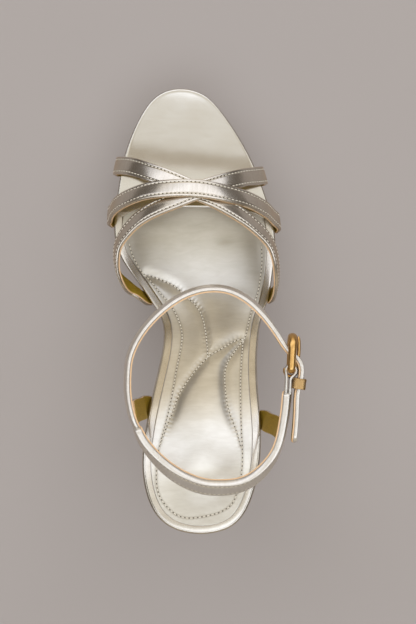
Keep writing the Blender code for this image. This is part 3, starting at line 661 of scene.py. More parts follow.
def lining_leather(name):
    """Split leather painted olive gold: streaks brushed across the strap, a dull lustre and a nap that
    breaks the light."""
    made, tree, place = blank_finish(name)
    stretch = node(tree, "Mapping", {"Scale": (1.0, 4.0, 0.5)}, {"Vector": place})
    streaks = node(tree, "TexNoise", {"Scale": per_metre(3), "Detail": 5.0}, {"Vector": stretch})
    tone = node(tree, "Mix", {"data_type": "RGBA", 6: linear("#967A25"), 7: linear("#CCAF45")}, {0: streaks})
    nap = node(tree, "TexNoise", {"Scale": per_metre(0.7), "Detail": 3.0}, {"Vector": place})
    raised = node(tree, "Bump", {"Distance": 0.05 * MM}, {"Height": nap})
    shader = node(
        tree,
        "BsdfPrincipled",
        {
            "Metallic": 0.65,
            "Roughness": 0.48,
            "Specular IOR Level": 0.2,
            "Specular Tint": linear("#B59A3C"),
        },
        {"Base Color": tone, "Normal": raised},
    )
    node(tree, "OutputMaterial", None, {"Surface": shader})
    return made


def plain_finish(name, tones, cloud_mm, roughness, bump, metallic=0.0):
    """A finish of two tones in clouds of one size, one roughness and a fine bump (size and depth in mm)."""
    made, tree, place = blank_finish(name)
    clouds = node(tree, "TexNoise", {"Scale": per_metre(cloud_mm), "Detail": 5.0}, {"Vector": place})
    tone = node(tree, "Mix", {"data_type": "RGBA", 6: linear(tones[0]), 7: linear(tones[1])}, {0: clouds})
    grit = node(tree, "TexNoise", {"Scale": per_metre(bump[0]), "Detail": 3.0}, {"Vector": place})
    raised = node(tree, "Bump", {"Distance": bump[1] * MM}, {"Height": grit})
    shader = node(
        tree,
        "BsdfPrincipled",
        {"Metallic": metallic, "Roughness": roughness},
        {"Base Color": tone, "Normal": raised},
    )
    node(tree, "OutputMaterial", None, {"Surface": shader})
    return made


# Foil leather on the rim's toe: pulled tight, so it is the smoothest and mirrors the lamps. The real grain is
# about 0.4 mm, too fine for the picture, so here and below it is drawn at about a millimetre.
COVER_LEATHER = foil_leather(
    "champagne_foil_cover_leather",
    tones=("#C8C5BE", "#C3BFB6", "#7D7566"),
    gloss=(0.08, 0.1),
    streak=(14, 3, 0.002),
    grain=(0.9, 0.0012),
    swell=(22, 0.05),
    coat=(0.4, 0.07, 1.5),
)
# The same skin on the rest of the rim, the platform and the heel: pasted over board, so its shine is softer.
WRAP_LEATHER = foil_leather(
    "champagne_foil_wrap_leather",
    tones=("#C8C3B9", "#BBB5A9", "#7D7566"),
    gloss=(0.2, 0.25),
    streak=(9, 9, 0.002),
    grain=(0.9, 0.0006),
    swell=(22, 0.05),
    coat=(0.35, 0.12, 1.5),
)
# The same skin on the straps, where folding leaves a little more grain; its third tone is painted shade in
# the sewn grooves.
STRAP_LEATHER = foil_leather(
    "champagne_foil_strap_leather",
    tones=("#C8C1B5", "#B7AFA2", "#766D5E"),
    gloss=(0.2, 0.26),
    streak=(1.1, 9, 0.006),
    grain=(0.9, 0.0012),
    swell=(12, 0.04),
    coat=(0.4, 0.1, 1.5),
)
# The ankle strap's skin: a paler, less metallic and rougher copy of the strap leather, painted light for the
# bright band that the lamps leave along the ring.
ANKLE_LEATHER = foil_leather(
    "champagne_foil_ankle_leather",
    tones=("#D2CEC6", "#C6C1B7", "#857C6D"),
    gloss=(0.26, 0.32),
    streak=(1.1, 9, 0.006),
    grain=(0.9, 0.0012),
    swell=(12, 0.04),
    coat=(0.4, 0.1, 1.5),
    metal=0.6,
)
# The sock's skin lies over foam, so it is softer, with slow waves and a duller shine.
SOCK_LEATHER = foil_leather(
    "champagne_foil_sock_leather",
    tones=("#D2CFC6", "#C5C1B6", "#837A66"),
    gloss=(0.29, 0.34),
    streak=(7, 1.9, 0.006),
    grain=(1.0, 0.0008),
    swell=(15, 0.04),
    coat=(0.3, 0.12, 1.5),
)
# Painted split leather inside the straps: a dull olive gold with brushed streaks.
STRAP_LINING = lining_leather("olive_gold_lining_leather")
# The cut edge of the lining: bare tanned fibre, matt and warm.
RAW_EDGE = plain_finish("raw_tan_leather_edge", ("#E4C39B", "#D2AB7E"), 2.5, 0.7, (0.6, 0.05))
# Waxed thread: pale, with a slight sheen and a twist too fine to draw, so only its clouds of tone show.
THREAD = plain_finish("waxed_champagne_thread", ("#F0EBDD", "#D6CDB8"), 1.5, 0.45, (0.4, 0.02))
# Needle holes and punched holes: dark beads with no shine, painted shade in the holes.
NEEDLE_HOLE = plain_finish("needle_hole_painted_shade", ("#554C3B", "#423A2B"), 1.0, 0.85, (0.5, 0.02))
# Satin gilt brass: cast, tumbled and plated, so its shine is broad and broken by a fine hammer of grit.
GILT = plain_finish("satin_gilt_brass", ("#D4AC6F", "#BC9252"), 1.6, 0.3, (0.5, 0.012), 1.0)
# The same brass on the keeper, a little rougher, in a darker copy that is painted shade for the knurl pressed
# into it.
KEEPER_GILT = plain_finish("knurled_gilt_brass", ("#B29567", "#9B7C50"), 1.6, 0.36, (0.5, 0.012), 1.0)
# Rubber sheet under the sole: pressed, then buffed, with faint clouds from the wheel.
SOLE_RUBBER = plain_finish("buffed_tan_sole_rubber", ("#B78F66", "#A27A53"), 9, 0.55, (0.8, 0.03))
# Moulded rubber of the heel's top piece: matt, with a grit that stops it slipping.
TOP_RUBBER = plain_finish("moulded_tan_rubber", ("#8C6B49", "#7A5B3D"), 6, 0.8, (0.7, 0.06))


def plan_mesh(name, points, faces):
    """A mesh of plan points in mm, moved into the frame and turned to metres."""
    mesh = bpy.data.meshes.new(name)
    mesh.from_pydata((points.reshape(-1, 3) + SHIFT) * MM, [], faces.tolist())
    return mesh


def quads_of(index):
    """One quad for each cell of a grid of point numbers."""
    return np.stack([index[:-1, :-1], index[:-1, 1:], index[1:, 1:], index[1:, :-1]], axis=-1)


def skin(
    name, grid, finishes, ring_along=False, ring_across=False, fan=(False, False), marks=0, sewn=0.0, lay=None
):
    """A mesh over a grid of plan points (along, across, xyz): one quad per cell. A ring joins the last row
    or column to the first, a fan closes an end row onto its middle, and points that fall together are
    merged, which closes the poles. Marks choose a finish per cell, sewn is a value per point for the
    leather's painted shade, and lay is where a point was on the flat leather, which is its place unless
    given."""
    grid = np.asarray(grid, float)
    sewn = np.broadcast_to(sewn, grid.shape[:2])
    marks = np.broadcast_to(marks, grid.shape[:2])
    lay = grid if lay is None else lay
    for end, wanted in ((0, fan[0]), (-1, fan[1])):
        if wanted:
            middle = np.broadcast_to(grid[end].mean(axis=0), grid[end].shape)[None]
            order = slice(None, None, 1 if end == 0 else -1)
            grid = np.concatenate([middle, grid][order])
            sewn = np.concatenate([sewn[end][None], sewn][order])
            marks = np.concatenate([marks[end][None], marks][order])
            lay = np.concatenate([lay[end][None], lay][order])
    rows, columns = grid.shape[:2]
    index = np.arange(rows * columns).reshape(rows, columns)
    index = np.concatenate([index, index[:1]]) if ring_along else index
    index = np.concatenate([index, index[:, :1]], axis=1) if ring_across else index
    quads = quads_of(index).reshape(-1, 4)
    mesh = plan_mesh(name, grid, quads)
    mesh.polygons.foreach_set("material_index", marks.reshape(-1)[quads[:, 0]].astype(np.int32))
    shade = mesh.attributes.new("sewn", "FLOAT", "POINT")
    shade.data.foreach_set("value", sewn.reshape(-1).astype(np.float32))
    flat = mesh.attributes.new("lay", "FLOAT_VECTOR", "POINT")
    flat.data.foreach_set("vector", (lay * MM).reshape(-1).astype(np.float32))
    return settled(name, mesh, finishes)


def settled(name, mesh, finishes, sharp=42.0):
    """Merges points that fall together, turns faces outward, shades smooth and puts the piece on the
    body."""
    bm = bmesh.new()
    bm.from_mesh(mesh)
    bmesh.ops.remove_doubles(bm, verts=bm.verts, dist=1e-7)
    bmesh.ops.dissolve_degenerate(bm, edges=bm.edges, dist=1e-8)
    bmesh.ops.recalc_face_normals(bm, faces=bm.faces)
    bm.to_mesh(mesh)
    bm.free()
    mesh.shade_smooth()
    mesh.set_sharp_from_angle(angle=math.radians(sharp))
    for finish in finishes:
        mesh.materials.append(finish)
    piece = bpy.data.objects.new(name, mesh)
    bpy.context.scene.collection.objects.link(piece)
    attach(piece, "root")
    return piece


def stands_for(piece, slot, *nodes):
    """Hides the solids that a piece stands for, and returns the piece. The slot is not used."""
    if nodes:
        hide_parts(*nodes)
    return piece


def layer_grid(stations, low, high, wall, across, inset=0.0, bow=0.0, lift=None):
    """Closed sections of a sole layer between two height functions. Each wall row is a face to measure
    from, a distance from it and an inset from the outline; rows between the low and high ones run straight.
    The bow carries the front edge forward in the middle, by powers of the way along and across, and
    lift(plan) is added in proportion to height."""
    edges, outward = rim_edges(stations)
    front = ((stations - stations[0]) / (stations[-1] - stations[0])) ** SOCK_BOW_ONSET
    share = np.linspace(0, 1, across + 2)[1:-1]

    def wall_row(side, face, distance, inward):
        """One wall row of a side: the outline drawn in by the insets, at its distance from the face."""
        plan = edges[side] - outward[side] * (inset + np.broadcast_to(inward, len(stations)))[:, None]
        bottom, top = low(plan[:, 1]), high(plan[:, 1])
        reach = np.minimum(distance, LAYER_SHARE * (top - bottom))
        return np.column_stack([plan, bottom + reach if face == "low" else top - reach])

    def wall_rows(side):
        """All wall rows of a side from low to high, with straight ones between the two rounds."""
        rows = [wall_row(side, *row) for row in wall]
        turn = max(i for i, row in enumerate(wall) if row[0] == "low")
        between = [rows[turn] * (1 - k) + rows[turn + 1] * k for k in (0.2, 0.4, 0.6, 0.8)]
        return rows[: turn + 1] + between + rows[turn + 1 :]

    def face_rows(left, right, height):
        """Rows straight across between two edges, bowed at the front, at the face's height."""
        plan = left[:, None, :2] * (1 - share[:, None]) + right[:, None, :2] * share[:, None]
        plan[..., 1] += bow * front[:, None] * (1 - (2 * share - 1) ** SOCK_BOW_FULLNESS)
        return np.concatenate([plan, height(plan[..., 1])[..., None]], axis=-1)

    left, right = wall_rows(MEDIAL), wall_rows(LATERAL)
    upper = face_rows(left[-1], right[-1], high)
    lower = face_rows(left[0], right[0], low)
    sides = np.stack(left, axis=1), np.stack(right[::-1], axis=1)
    grid = np.concatenate([sides[0], upper, sides[1], lower[:, ::-1]], axis=1)
    if lift:
        bottom, top = low(grid[..., 1]), high(grid[..., 1])
        grid[..., 2] += lift(grid[..., :2]) * np.clip((grid[..., 2] - bottom) / (top - bottom), 0, 1)
    return grid


def round_wall(radius, low_inset, high_inset, steps=9):
    """Wall rows with a quarter round at the foot and at the top, straight between."""
    turns = np.radians(np.linspace(0, 90, steps))
    foot = [("low", radius * (1 - math.sin(t)), low_inset + radius * (1 - math.cos(t))) for t in turns[::-1]]
    head = [("high", radius * (1 - math.sin(t)), high_inset + radius * (1 - math.cos(t))) for t in turns]
    return foot + head


def rim_outline(count):
    """The rim's plan as one line, from the back of the heel up the inner side and down the outer one."""
    edges = rim_plan(np.linspace(0, 1, count))
    return np.concatenate([edges[MEDIAL], edges[LATERAL][-2:0:-1]])


def build_rim():
    """The footbed rim: a full edge all round, a half circle with its sine and cosine eased, a soft shoulder
    that drops as the square of the way to the edge, and at the back a fine pressed line along the edge."""
    stations = np.linspace(0, 1, 250)
    y = rim_plan(stations)[0][:, 1]
    rear = smooth_step((RAND_FROM - y) / RAND_RUN)
    radius = RIM_THICKNESS / 2
    wall = []
    for angle in np.linspace(-90, 90, 61):
        turn = math.radians(angle)
        pressed = RAND_DEPTH * math.exp(-(((angle - RAND_ANGLE) / RAND_SPREAD) ** 2)) * rear
        inset = radius * (1 - abs(math.cos(turn)) ** EDGE_SQUARENESS)
        rise = radius * (1 + math.copysign(abs(math.sin(turn)) ** EDGE_SQUARENESS, turn)) - pressed
        wall.append(("low", rise, inset) if angle <= 0 else ("high", 2 * radius - rise, inset))
    outline = rim_outline(len(stations))

    def shoulder(plan):
        """Drop of the shoulder: the table's depth times the square of the way to the edge."""
        away = nearest_on([outline], plan)[0]
        drop = np.interp(plan[..., 1], *np.array(SHOULDER_DROP).T)
        return -drop * np.maximum(0, 1 - away / SHOULDER_REACH) ** 2

    grid = layer_grid(stations, lambda at: below_rim(at, RIM_THICKNESS), rim_top, wall, 60, lift=shoulder)
    behind = grid[..., 1] < RIM_SOFT_BEFORE
    cover = skin("footbed_rim_cover", grid, [COVER_LEATHER, WRAP_LEATHER], ring_across=True, marks=behind)
    stands_for(cover, "cover_leather", "footbed_rim")


def build_platform():
    """Platform cover and outsole: layers of one outline, the first wrapped in leather, the second a
    sheet."""
    stations = sole_stations(BREAST + GAP, TOE_END, 200)
    grid = layer_grid(
        stations,
        lambda y: outsole_high(y) + GAP,
        lambda y: below_rim(y, RIM_THICKNESS + GAP),
        round_wall(*PLATFORM_EDGE),
        24,
    )
    cover = skin("platform_cover", grid, [WRAP_LEATHER], ring_across=True, fan=(True, False))
    stands_for(cover, "cover_leather", "platform")
    grid = layer_grid(stations, sole_low, outsole_high, round_wall(*OUTSOLE_EDGE), 24)
    sheet = skin("outsole_sheet", grid, [SOLE_RUBBER], ring_across=True, fan=(True, False))
    stands_for(sheet, "outsole_sheet", "outsole")


def sock_seams():
    """The sock's sewn lines as smooth plan curves with a point about every millimetre."""
    lines = {}
    for name, rows in SOCK_SEAMS.items():
        rows = np.column_stack([np.array(rows), np.zeros(len(rows))])
        lines[name] = along_curve(rows, int(lengths(rows)[-1]))[:, :2]
    return lines


def padding(plan, lines):
    """Height of the foam: level outside the edge seam, and inside it a dome, the square of one less the
    square of the way from the middle to the seam. It is a shallow dish under the ball and thickest under
    the heel."""
    edge, outer = lines["edge"], lines["outer_edge"]
    back = int(np.argmin(edge[:, 1]))
    inner_side = edge[: back + 1][::-1]
    outer_side = np.concatenate([edge[back:], outer[::-1]])
    x, y = plan[..., 0], plan[..., 1]
    left = np.interp(y, inner_side[:, 1], inner_side[:, 0])
    right = np.interp(y, np.maximum.accumulate(outer_side[:, 1]), outer_side[:, 0])
    off = np.clip((2 * x - left - right) / np.maximum(right - left, 1.0), -1, 1)
    full = PAD_BALL + (PAD_FULL - PAD_BALL) * smooth_step((PAD_FULL_FROM - y) / PAD_FULL_RUN)
    full += PAD_HEEL * smooth_step((PAD_HEEL_FROM - y) / PAD_HEEL_RUN)
    dome = (1 - off**2) ** 2 * smooth_step((y - edge[back, 1]) / PAD_BACK_RISE)
    return PAD_EDGE + (full - PAD_EDGE) * dome


def sock_height(plan, lines):
    """How far the padded sock stands above its edge: the foam, pulled down by the deepest of the sewn
    lines' bell curves, and rippled beside them with one pucker per stitch. Also how dark the skin is painted,
    which is painted shade: along the thread, in those pulled folds, over the ball and in spots of shade."""
    pull = np.zeros(plan.shape[:-1])
    ripple = np.zeros(plan.shape[:-1])
    fold = BALL_SHADE * smooth_step((plan[..., 1] - BALL_SHADE_FROM) / BALL_SHADE_RUN)
    for across, along, half_width, half_length, depth in PAINTED_SHADE_SPOTS:
        off = ((plan[..., 0] - across) / half_width) ** 2 + ((plan[..., 1] - along) / half_length) ** 2
        fold += depth * np.exp(-off)
    for name, line in lines.items():
        spread, depth, pucker, dying = SEAM_PULL[name]
        away, run = nearest_on([line], plan)
        held = smooth_step((lengths(line)[-1] - run) / dying) if dying else 1.0
        pull = np.maximum(pull, depth * held * np.exp(-((away / spread) ** 2)))
        beside = np.exp(-(((away - PUCKER_AWAY) / PUCKER_SPREAD) ** 2))
        ripple += pucker * np.sin(2 * math.pi * run / STITCH_PITCH) * beside
        thread = np.exp(-((away / THREAD_SHADE_SPREAD) ** 2))
        fold = np.maximum(fold, np.maximum(thread, FOLD_SHADE * pull))
    return padding(plan, lines) - pull + ripple, fold


def build_sock():
    """The padded sock: a closed thin cushion on the footbed, flat below, quilted above. Its front row is
    closed half way between each point and the one opposite."""
    lines = sock_seams()
    stations = sole_stations(HEEL_END, SOCK_FRONT, 330)
    across = 120
    wall = round_wall(SOCK_EDGE_ROUND, 0.0, 0.0, 4)
    grid = layer_grid(
        stations,
        lambda y: rim_top(y) + GAP,
        lambda y: rim_top(y) + GAP + SOCK_EDGE,
        wall,
        across,
        SOCK_INSET,
        SOCK_FRONT_BOW,
        lambda plan: sock_height(plan, lines)[0],
    )
    ring = grid.shape[1]
    side = (ring - 2 * across) // 2
    # The sock's tone is darkened by these values: painted shade along the seams, in the folds, over the ball
    # and in a few spots.
    sewn = sock_height(grid[..., :2], lines)[1]
    other = np.concatenate([np.arange(side)[::-1], side + across + side + np.arange(across)[::-1]])
    other = np.concatenate([other, side + across + np.arange(side)[::-1], side + np.arange(across)[::-1]])
    closing = (grid[-1] + grid[-1, other]) / 2 + (0, SOCK_NOSE, 0)
    grid = np.concatenate([grid, closing[None]])
    sewn = np.concatenate([sewn, sewn[-1:]])
    sock = skin("padded_sock", grid, [SOCK_LEATHER], ring_across=True, sewn=SOCK_SHADE * sewn)
    stands_for(sock, "sock_leather", "sock")
    threads = []
    for line in lines.values():
        height = rim_top(line[:, 1]) + GAP + SOCK_EDGE + sock_height(line, lines)[0]
        slope = slope_of(rim_top, line[:, 1])
        normals = unit(np.column_stack([np.zeros(len(line)), -slope, np.ones(len(line))]))
        threads.append((np.column_stack([line, height]), normals))
    sew("sock_stitches", "sock_needle_holes", threads, "sock_leather", SOCK_STITCH_SINK)


def sew(thread_name, hole_name, rows, slot, sink=0.0):
    """Stitches and needle holes along sewn lines. Each line is points with the surface's normals; a stitch
    is a capsule along the line every pitch, and a hole is a flat dark bead, painted shade of the hole, half
    way between two stitches."""
    stitches = [sewn_places(line, normals, 0.5) for line, normals in rows]
    holes = [sewn_places(line, normals, 1.0) for line, normals in rows]
    stands_for(beads(thread_name, stitches, STITCH_SHAPE, STITCH_SIZES, STITCH_RISE - sink, THREAD), slot)
    stands_for(beads(hole_name, holes, NEEDLE_HOLE_SHAPE, NEEDLE_HOLE_SIZES, -sink, NEEDLE_HOLE), slot)


def sewn_places(line, normals, offset):
    """Points every stitch pitch along a line, with the line's direction and the normal there."""
    run = lengths(line)
    stops = np.arange(offset * STITCH_PITCH, run[-1], STITCH_PITCH)
    both = evenly(np.column_stack([line, normals]), stops)
    ahead = evenly(line, np.minimum(stops + 0.4, run[-1])) - evenly(line, np.maximum(stops - 0.4, 0))
    return np.concatenate([both, unit(ahead)], axis=1)


def beads(name, places, shape, sizes, rise, finish):
    """Many copies of one small turned shape (along, radius) in one mesh: each is carried to its place by
    the place's direction, side and normal, stretched by the three sizes and lifted by the rise."""
    places = np.concatenate(places)
    centre, normal, run = places[:, :3], places[:, 3:6], places[:, 6:9]
    normal = square_to(normal, run)
    side = np.cross(normal, run)
    turns = np.arange(BEAD_SIDES) * 2 * math.pi / BEAD_SIDES
    shape = np.array(shape)
    local = np.stack(
        [
            np.repeat(shape[:, 0], BEAD_SIDES) * sizes[0],
            np.outer(shape[:, 1], np.cos(turns)).reshape(-1) * sizes[1],
            np.outer(shape[:, 1], np.sin(turns)).reshape(-1) * sizes[2] + rise,
        ],
        axis=1,
    )
    axes = np.stack([run, side, normal], axis=1)
    points = centre[:, None] + local[None] @ axes
    index = np.arange(len(local)).reshape(-1, BEAD_SIDES)
    quads = quads_of(np.concatenate([index, index[:, :1]], axis=1)).reshape(-1, 4)
    faces = (quads[None] + np.arange(len(places))[:, None, None] * len(local)).reshape(-1, 4)
    mesh = plan_mesh(name, points, faces)
    return settled(name, mesh, [finish], 80.0)


def heel_loop(count):
    """Plan of the heel's top as a closed loop with eased breast corners: evenly spaced, averaged by a
    bell."""
    stations = sole_stations(HEEL_END, BREAST, count)
    edges, outward = rim_edges(stations)
    sides = [edges[s] - HEEL_INSET * outward[s] for s in (MEDIAL, LATERAL)]
    loop = np.concatenate([sides[LATERAL][::-1], sides[MEDIAL][1:], sides[LATERAL][-1:]])
    loop = np.column_stack([loop, 0 * loop[:, 0]])
    loop = evenly(loop, np.linspace(0, lengths(loop)[-1], 2 * count, endpoint=False))[:, :2]
    shifts = range(-6, 7)
    weights = np.exp(-((np.array(shifts) / HEEL_CORNER_EASE) ** 2))
    weights /= weights.sum()
    return sum(weight * np.roll(loop, shift, axis=0) for weight, shift in zip(weights, shifts))


def heel_plan(loop, width, length, shift):
    """The seat's plan drawn in about the heel's centre, and moved back."""
    centre = np.array(HEEL_CENTRE)
    return centre + (loop - centre) * (width, length) - (0, shift)


def build_heel():
    """The covered heel: the seat's loop drawn in by the table's shares from seat to floor, its rows crowded
    towards the seat. Under it a rubber top piece, with a quarter round at the floor and straight sides."""
    loop = heel_loop(130)
    shares = 1 - (1 - np.linspace(0, 1, 70)) ** HEEL_ROW_CROWDING
    table = np.array(HEEL_ROWS)
    foot = TOP_PIECE_HEIGHT + GAP
    drawn = np.stack([heel_plan(loop, *row) for row in spline(table[:, 0], table[:, 1:], shares)])
    seat = below_rim(drawn[..., 1], RIM_THICKNESS + GAP)
    grid = np.concatenate([drawn, (foot + shares[:, None] * (seat - foot))[..., None]], axis=-1)
    cover = skin("heel_cover", grid, [WRAP_LEATHER], ring_across=True, fan=(True, True))
    stands_for(cover, "cover_leather", "heel")
    turns = np.radians(np.linspace(0, 90, 7))
    rows = [(1.0 - TOP_PIECE_DRAW_IN * (1 - math.sin(t)), 1.0 - math.cos(t)) for t in turns]
    rows += [(1.0, z) for z in (3.0, 5.5, TOP_PIECE_HEIGHT - 0.15)] + [(0.992, TOP_PIECE_HEIGHT)]
    width, length, shift = HEEL_ROWS[0][1:]
    plans = [heel_plan(loop, width * k, length * k, shift) for k, _ in rows]
    grid = np.stack([np.column_stack([plan, np.full(len(plan), z)]) for plan, (_, z) in zip(plans, rows)])
    piece = skin("heel_top_piece_rubber", grid, [TOP_RUBBER], ring_across=True, fan=(True, True))
    stands_for(piece, "top_piece_rubber", "heel_top_piece")


def carried(path, faces, section, slant):
    """Sections (station, point, across and outward) carried along a path whose outer face looks along
    faces. The slant drops each section's front edge, so that a strap's end lies along a sloping seam."""
    run = directions(path)
    out = square_to(faces, run)
    across = np.cross(out, run)
    grid = path[:, None] + section[..., :1] * across[:, None] + section[..., 1:] * out[:, None]
    grid[..., 2] += slant[:, None] * (grid[..., 1] - path[:, None, 1])
    return grid


def face_height(across, half, top):
    """Outward height of a strap's face: a low dome, with a bell-shaped groove along both sewn lines."""
    dome = STRAP_DOME * (1 - (across / half) ** 2)
    edge = STRAP_DOME * (1 - ((half - EDGE_ROLL) / half) ** 2)
    groove = np.exp(-(((np.abs(across) - half + SEWING_INSET) / SEWING_GROOVE_SPREAD) ** 2))
    return top + dome - edge - SEWING_GROOVE * groove, groove


def outer_section(half, wall):
    """Closed section of the outer leather: domed and grooved face, half-round turned edges, flat back."""
    top, base = wall, np.minimum(-wall + LINING_SHEET, wall - OUTER_LEAST)
    roll = np.minimum(EDGE_ROLL, 0.9 * half)
    across = np.linspace(-1, 1, 49) * (half - roll)
    height, groove = face_height(across, half, top)
    turns = np.radians(np.linspace(90, -90, 13)[1:-1])
    middle, reach = (top + base) / 2, (top - base) / 2
    edge = np.stack([half - roll + roll * np.cos(turns), middle + reach * np.sin(turns)], axis=-1)
    back = np.linspace(1, -1, 7) * (half - roll)
    face = np.stack([across, height], axis=-1)
    flat = np.stack([back, np.broadcast_to(base, back.shape)], axis=-1)
    section = np.concatenate([face, edge, flat, edge[:, ::-1] * (-1, 1)], axis=1)
    sewn = np.zeros(section.shape[:2])
    sewn[:, : groove.shape[1]] = groove
    return section, sewn


def lining_section(half, wall):
    """Closed section of the lining: a sheet a little narrower than the strap, with square raw edges."""
    low = -wall
    high = np.minimum(low + LINING_SHEET, wall - LINING_KEEPS_OFF)
    half = np.maximum(half - LINING_INSET, 0.3 * half)
    across = np.array([-1, -0.5, 0, 0.5, 1, 1, 1, 0.985, 0.5, 0, -0.5, -0.985, -1, -1])
    level = np.array([1, 1, 1, 1, 1, 0.5, 0.08, 0, 0, 0, 0, 0, 0.08, 0.5])
    raw = np.array([1, 1, 1, 1, 1, 1, 1, 0, 0, 0, 0, 1, 1, 1])
    return np.stack([across * half, low + level * (high - low)], axis=-1), raw


def strap(name, path, faces, width, thickness, node_name, leather, slant=0.0, ends=(0.0, 0.0)):
    """A strap along a path: turned outer leather, lining and two sewn lines, which are returned. Ends give
    how far a free end is rounded off, by a power of a circle; an end that goes into a seam has none."""
    count = len(path)
    slant = np.broadcast_to(slant, count)
    run = lengths(path)
    half = np.full(count, width / 2)
    wall = np.broadcast_to(thickness, count) / 2
    for reach, distance in zip(ends, (run, run[-1] - run)):
        if reach:
            left = np.clip(distance / reach, 0.004, 1)
            half = half * np.sqrt(1 - (1 - left) ** 2) ** END_SQUARENESS
            wall = wall * np.sqrt(1 - (1 - np.clip(distance / END_WALL_ROUND, 0.02, 1)) ** 2)
    half, wall = half[:, None], wall[:, None]
    section, sewn = outer_section(half, wall)
    grid = carried(path, faces, section, slant)
    on_strap = np.broadcast_to(run[:, None], grid.shape[:2])
    lay = np.stack([on_strap, section[..., 0], 0 * section[..., 0]], axis=-1)
    closed = {"ring_across": True, "fan": (True, True)}
    # The outer leather's tone is darkened in the sewing grooves: painted shade.
    outer = skin(f"{name}_leather", grid, [leather], sewn=SEWING_SHADE * sewn, lay=lay, **closed)
    stands_for(outer, "strap_leather", node_name)
    section, raw = lining_section(half, wall)
    grid = carried(path, faces, section, slant)
    inner = skin(f"{name}_lining", grid, [STRAP_LINING, RAW_EDGE], marks=raw, **closed)
    stands_for(inner, "strap_leather", node_name)
    rows = []
    out = square_to(faces, directions(path))
    for side in (-1, 1):
        across = side * (half - SEWING_INSET)
        height = face_height(across, half, wall)[0]
        line = carried(path, faces, np.stack([across, height], axis=-1), slant)[:, 0]
        keep = slice(None)
        if any(ends):
            inside = (run > ends[0] + SEWING_END) & (run < run[-1] - ends[1] - SEWING_END)
            keep = np.flatnonzero(inside)
        rows.append((line[keep], out[keep]))
    return rows


def thinned(path, start, end):
    """Strap thickness along a path, skived down over the last few millimetres at the named ends."""
    run = lengths(path)
    left = np.full(len(path), STRAP_END_TAPER)
    left = np.minimum(left, run) if start else left
    left = np.minimum(left, run[-1] - run) if end else left
    return STRAP_END_THICKNESS + (STRAP_THICKNESS - STRAP_END_THICKNESS) * left / STRAP_END_TAPER


def seam_rows(seam):
    """The points by which a strap leaves its seam, moved along the foot by the seam's lean as they rise."""
    side, y, lean = seam
    return [seam_point(side, y + lean * up, out, up) for out, up in SEAM_STEPS]


def settle(path, faces, seams):
    """Near each seam, turns a strap's faces square to the rim's edge. The seams are at the path's ends."""
    faces = unit(faces)
    run = lengths(path)
    for seam, distance in zip(seams, (run, run[-1] - run)):
        if seam:
            outward = rim_edges(station_of(np.array([seam[1]])))[1][seam[0]][0]
            near = smooth_step(1 - distance / SEAM_SETTLE)[:, None]
            faces = faces * (1 - near) + np.array([*outward, 0]) * near
    return faces


def toe_strap(name, rows):
    """A toe strap from seam to seam, facing away from the line inside the foot."""
    points = [*seam_rows(rows["start"]), *rows["over"], *seam_rows(rows["end"])[::-1]]
    path = along_curve(points, 210)
    core = np.array(FOOT_CORE_HEIGHT)
    rise = path[:, 2] - np.interp(path[:, 1], core[:, 0], core[:, 1])
    side = path[:, 0] - FOOT_CORE_X
    sweep = np.interp(path[:, 1], *np.array(FOOT_FACE_SWEEP).T)
    faces = np.stack([side, FOOT_FACE_LEAN * rise + sweep * np.abs(side), rise], axis=1)
    faces = settle(path, faces, (rows["start"], rows["end"]))
    sizes = (VAMP_STRAP_WIDTH, thinned(path, True, True))
    return strap(name, path, faces, *sizes, "vamp_straps", STRAP_LEATHER)


def build_vamp():
    """Three toe straps: the front inner one lowest, the middle one on top."""
    rows = toe_strap("toe_strap_front_in", STRAP_FRONT_IN)
    rows += toe_strap("toe_strap_front_out", STRAP_FRONT_OUT)
    rows += toe_strap("toe_strap_middle", STRAP_MIDDLE)
    sew("toe_strap_stitches", "toe_strap_needle_holes", rows, "strap_leather")


def ring_faces(path, lean, turn):
    """Outward faces of a strap that runs round the ankle, tipped up by the lean in degrees."""
    run = directions(path)
    flat = unit(turn * np.stack([-run[:, 1], run[:, 0], np.zeros(len(run))], axis=1))
    lean = np.radians(lean)[:, None]
    return flat * np.cos(lean) + UP * np.sin(lean)


def ankle_path():
    """The ankle strap's middle line, from the inner side round the front to its free end."""
    return along_curve([(x, y, ANKLE_HEIGHT) for x, y in ANKLE_STRAP], 320)


def long_strap():
    """The ankle strap: inner side, front, through buckle and keeper to its free end, thicker in its tail
    and dipped under the heel strap at its start."""
    path = ankle_path()
    share = np.linspace(0, 1, len(path))
    path[:, 2] -= ANKLE_START_DIP * smooth_step(1 - lengths(path) / ANKLE_START_RUN)
    thickness = np.interp(share, ANKLE_TAIL_FROM, (ANKLE_STRAP_THICKNESS, ANKLE_TAIL_THICKNESS))
    lean = ANKLE_STRAP_LEAN * smooth_step((ANKLE_LEAN_UNTIL - share) / ANKLE_LEAN_RUN)
    sizes = (ANKLE_STRAP_WIDTH, thickness)
    faces = ring_faces(path, lean, 1)
    return strap("ankle_strap", path, faces, *sizes, "ankle_straps", ANKLE_LEATHER, ends=ANKLE_ENDS)


def heel_strap():
    """The strap behind the heel, with the lean of its face carried along its path."""
    rows = along_curve(HEEL_STRAP, 230)
    path = rows[:, :3]
    faces = ring_faces(path, rows[:, 3], -1)
    sizes = (ANKLE_STRAP_WIDTH, HEEL_STRAP_THICKNESS)
    return strap("heel_strap", path, faces, *sizes, "ankle_straps", ANKLE_LEATHER, ends=HEEL_STRAP_ENDS)


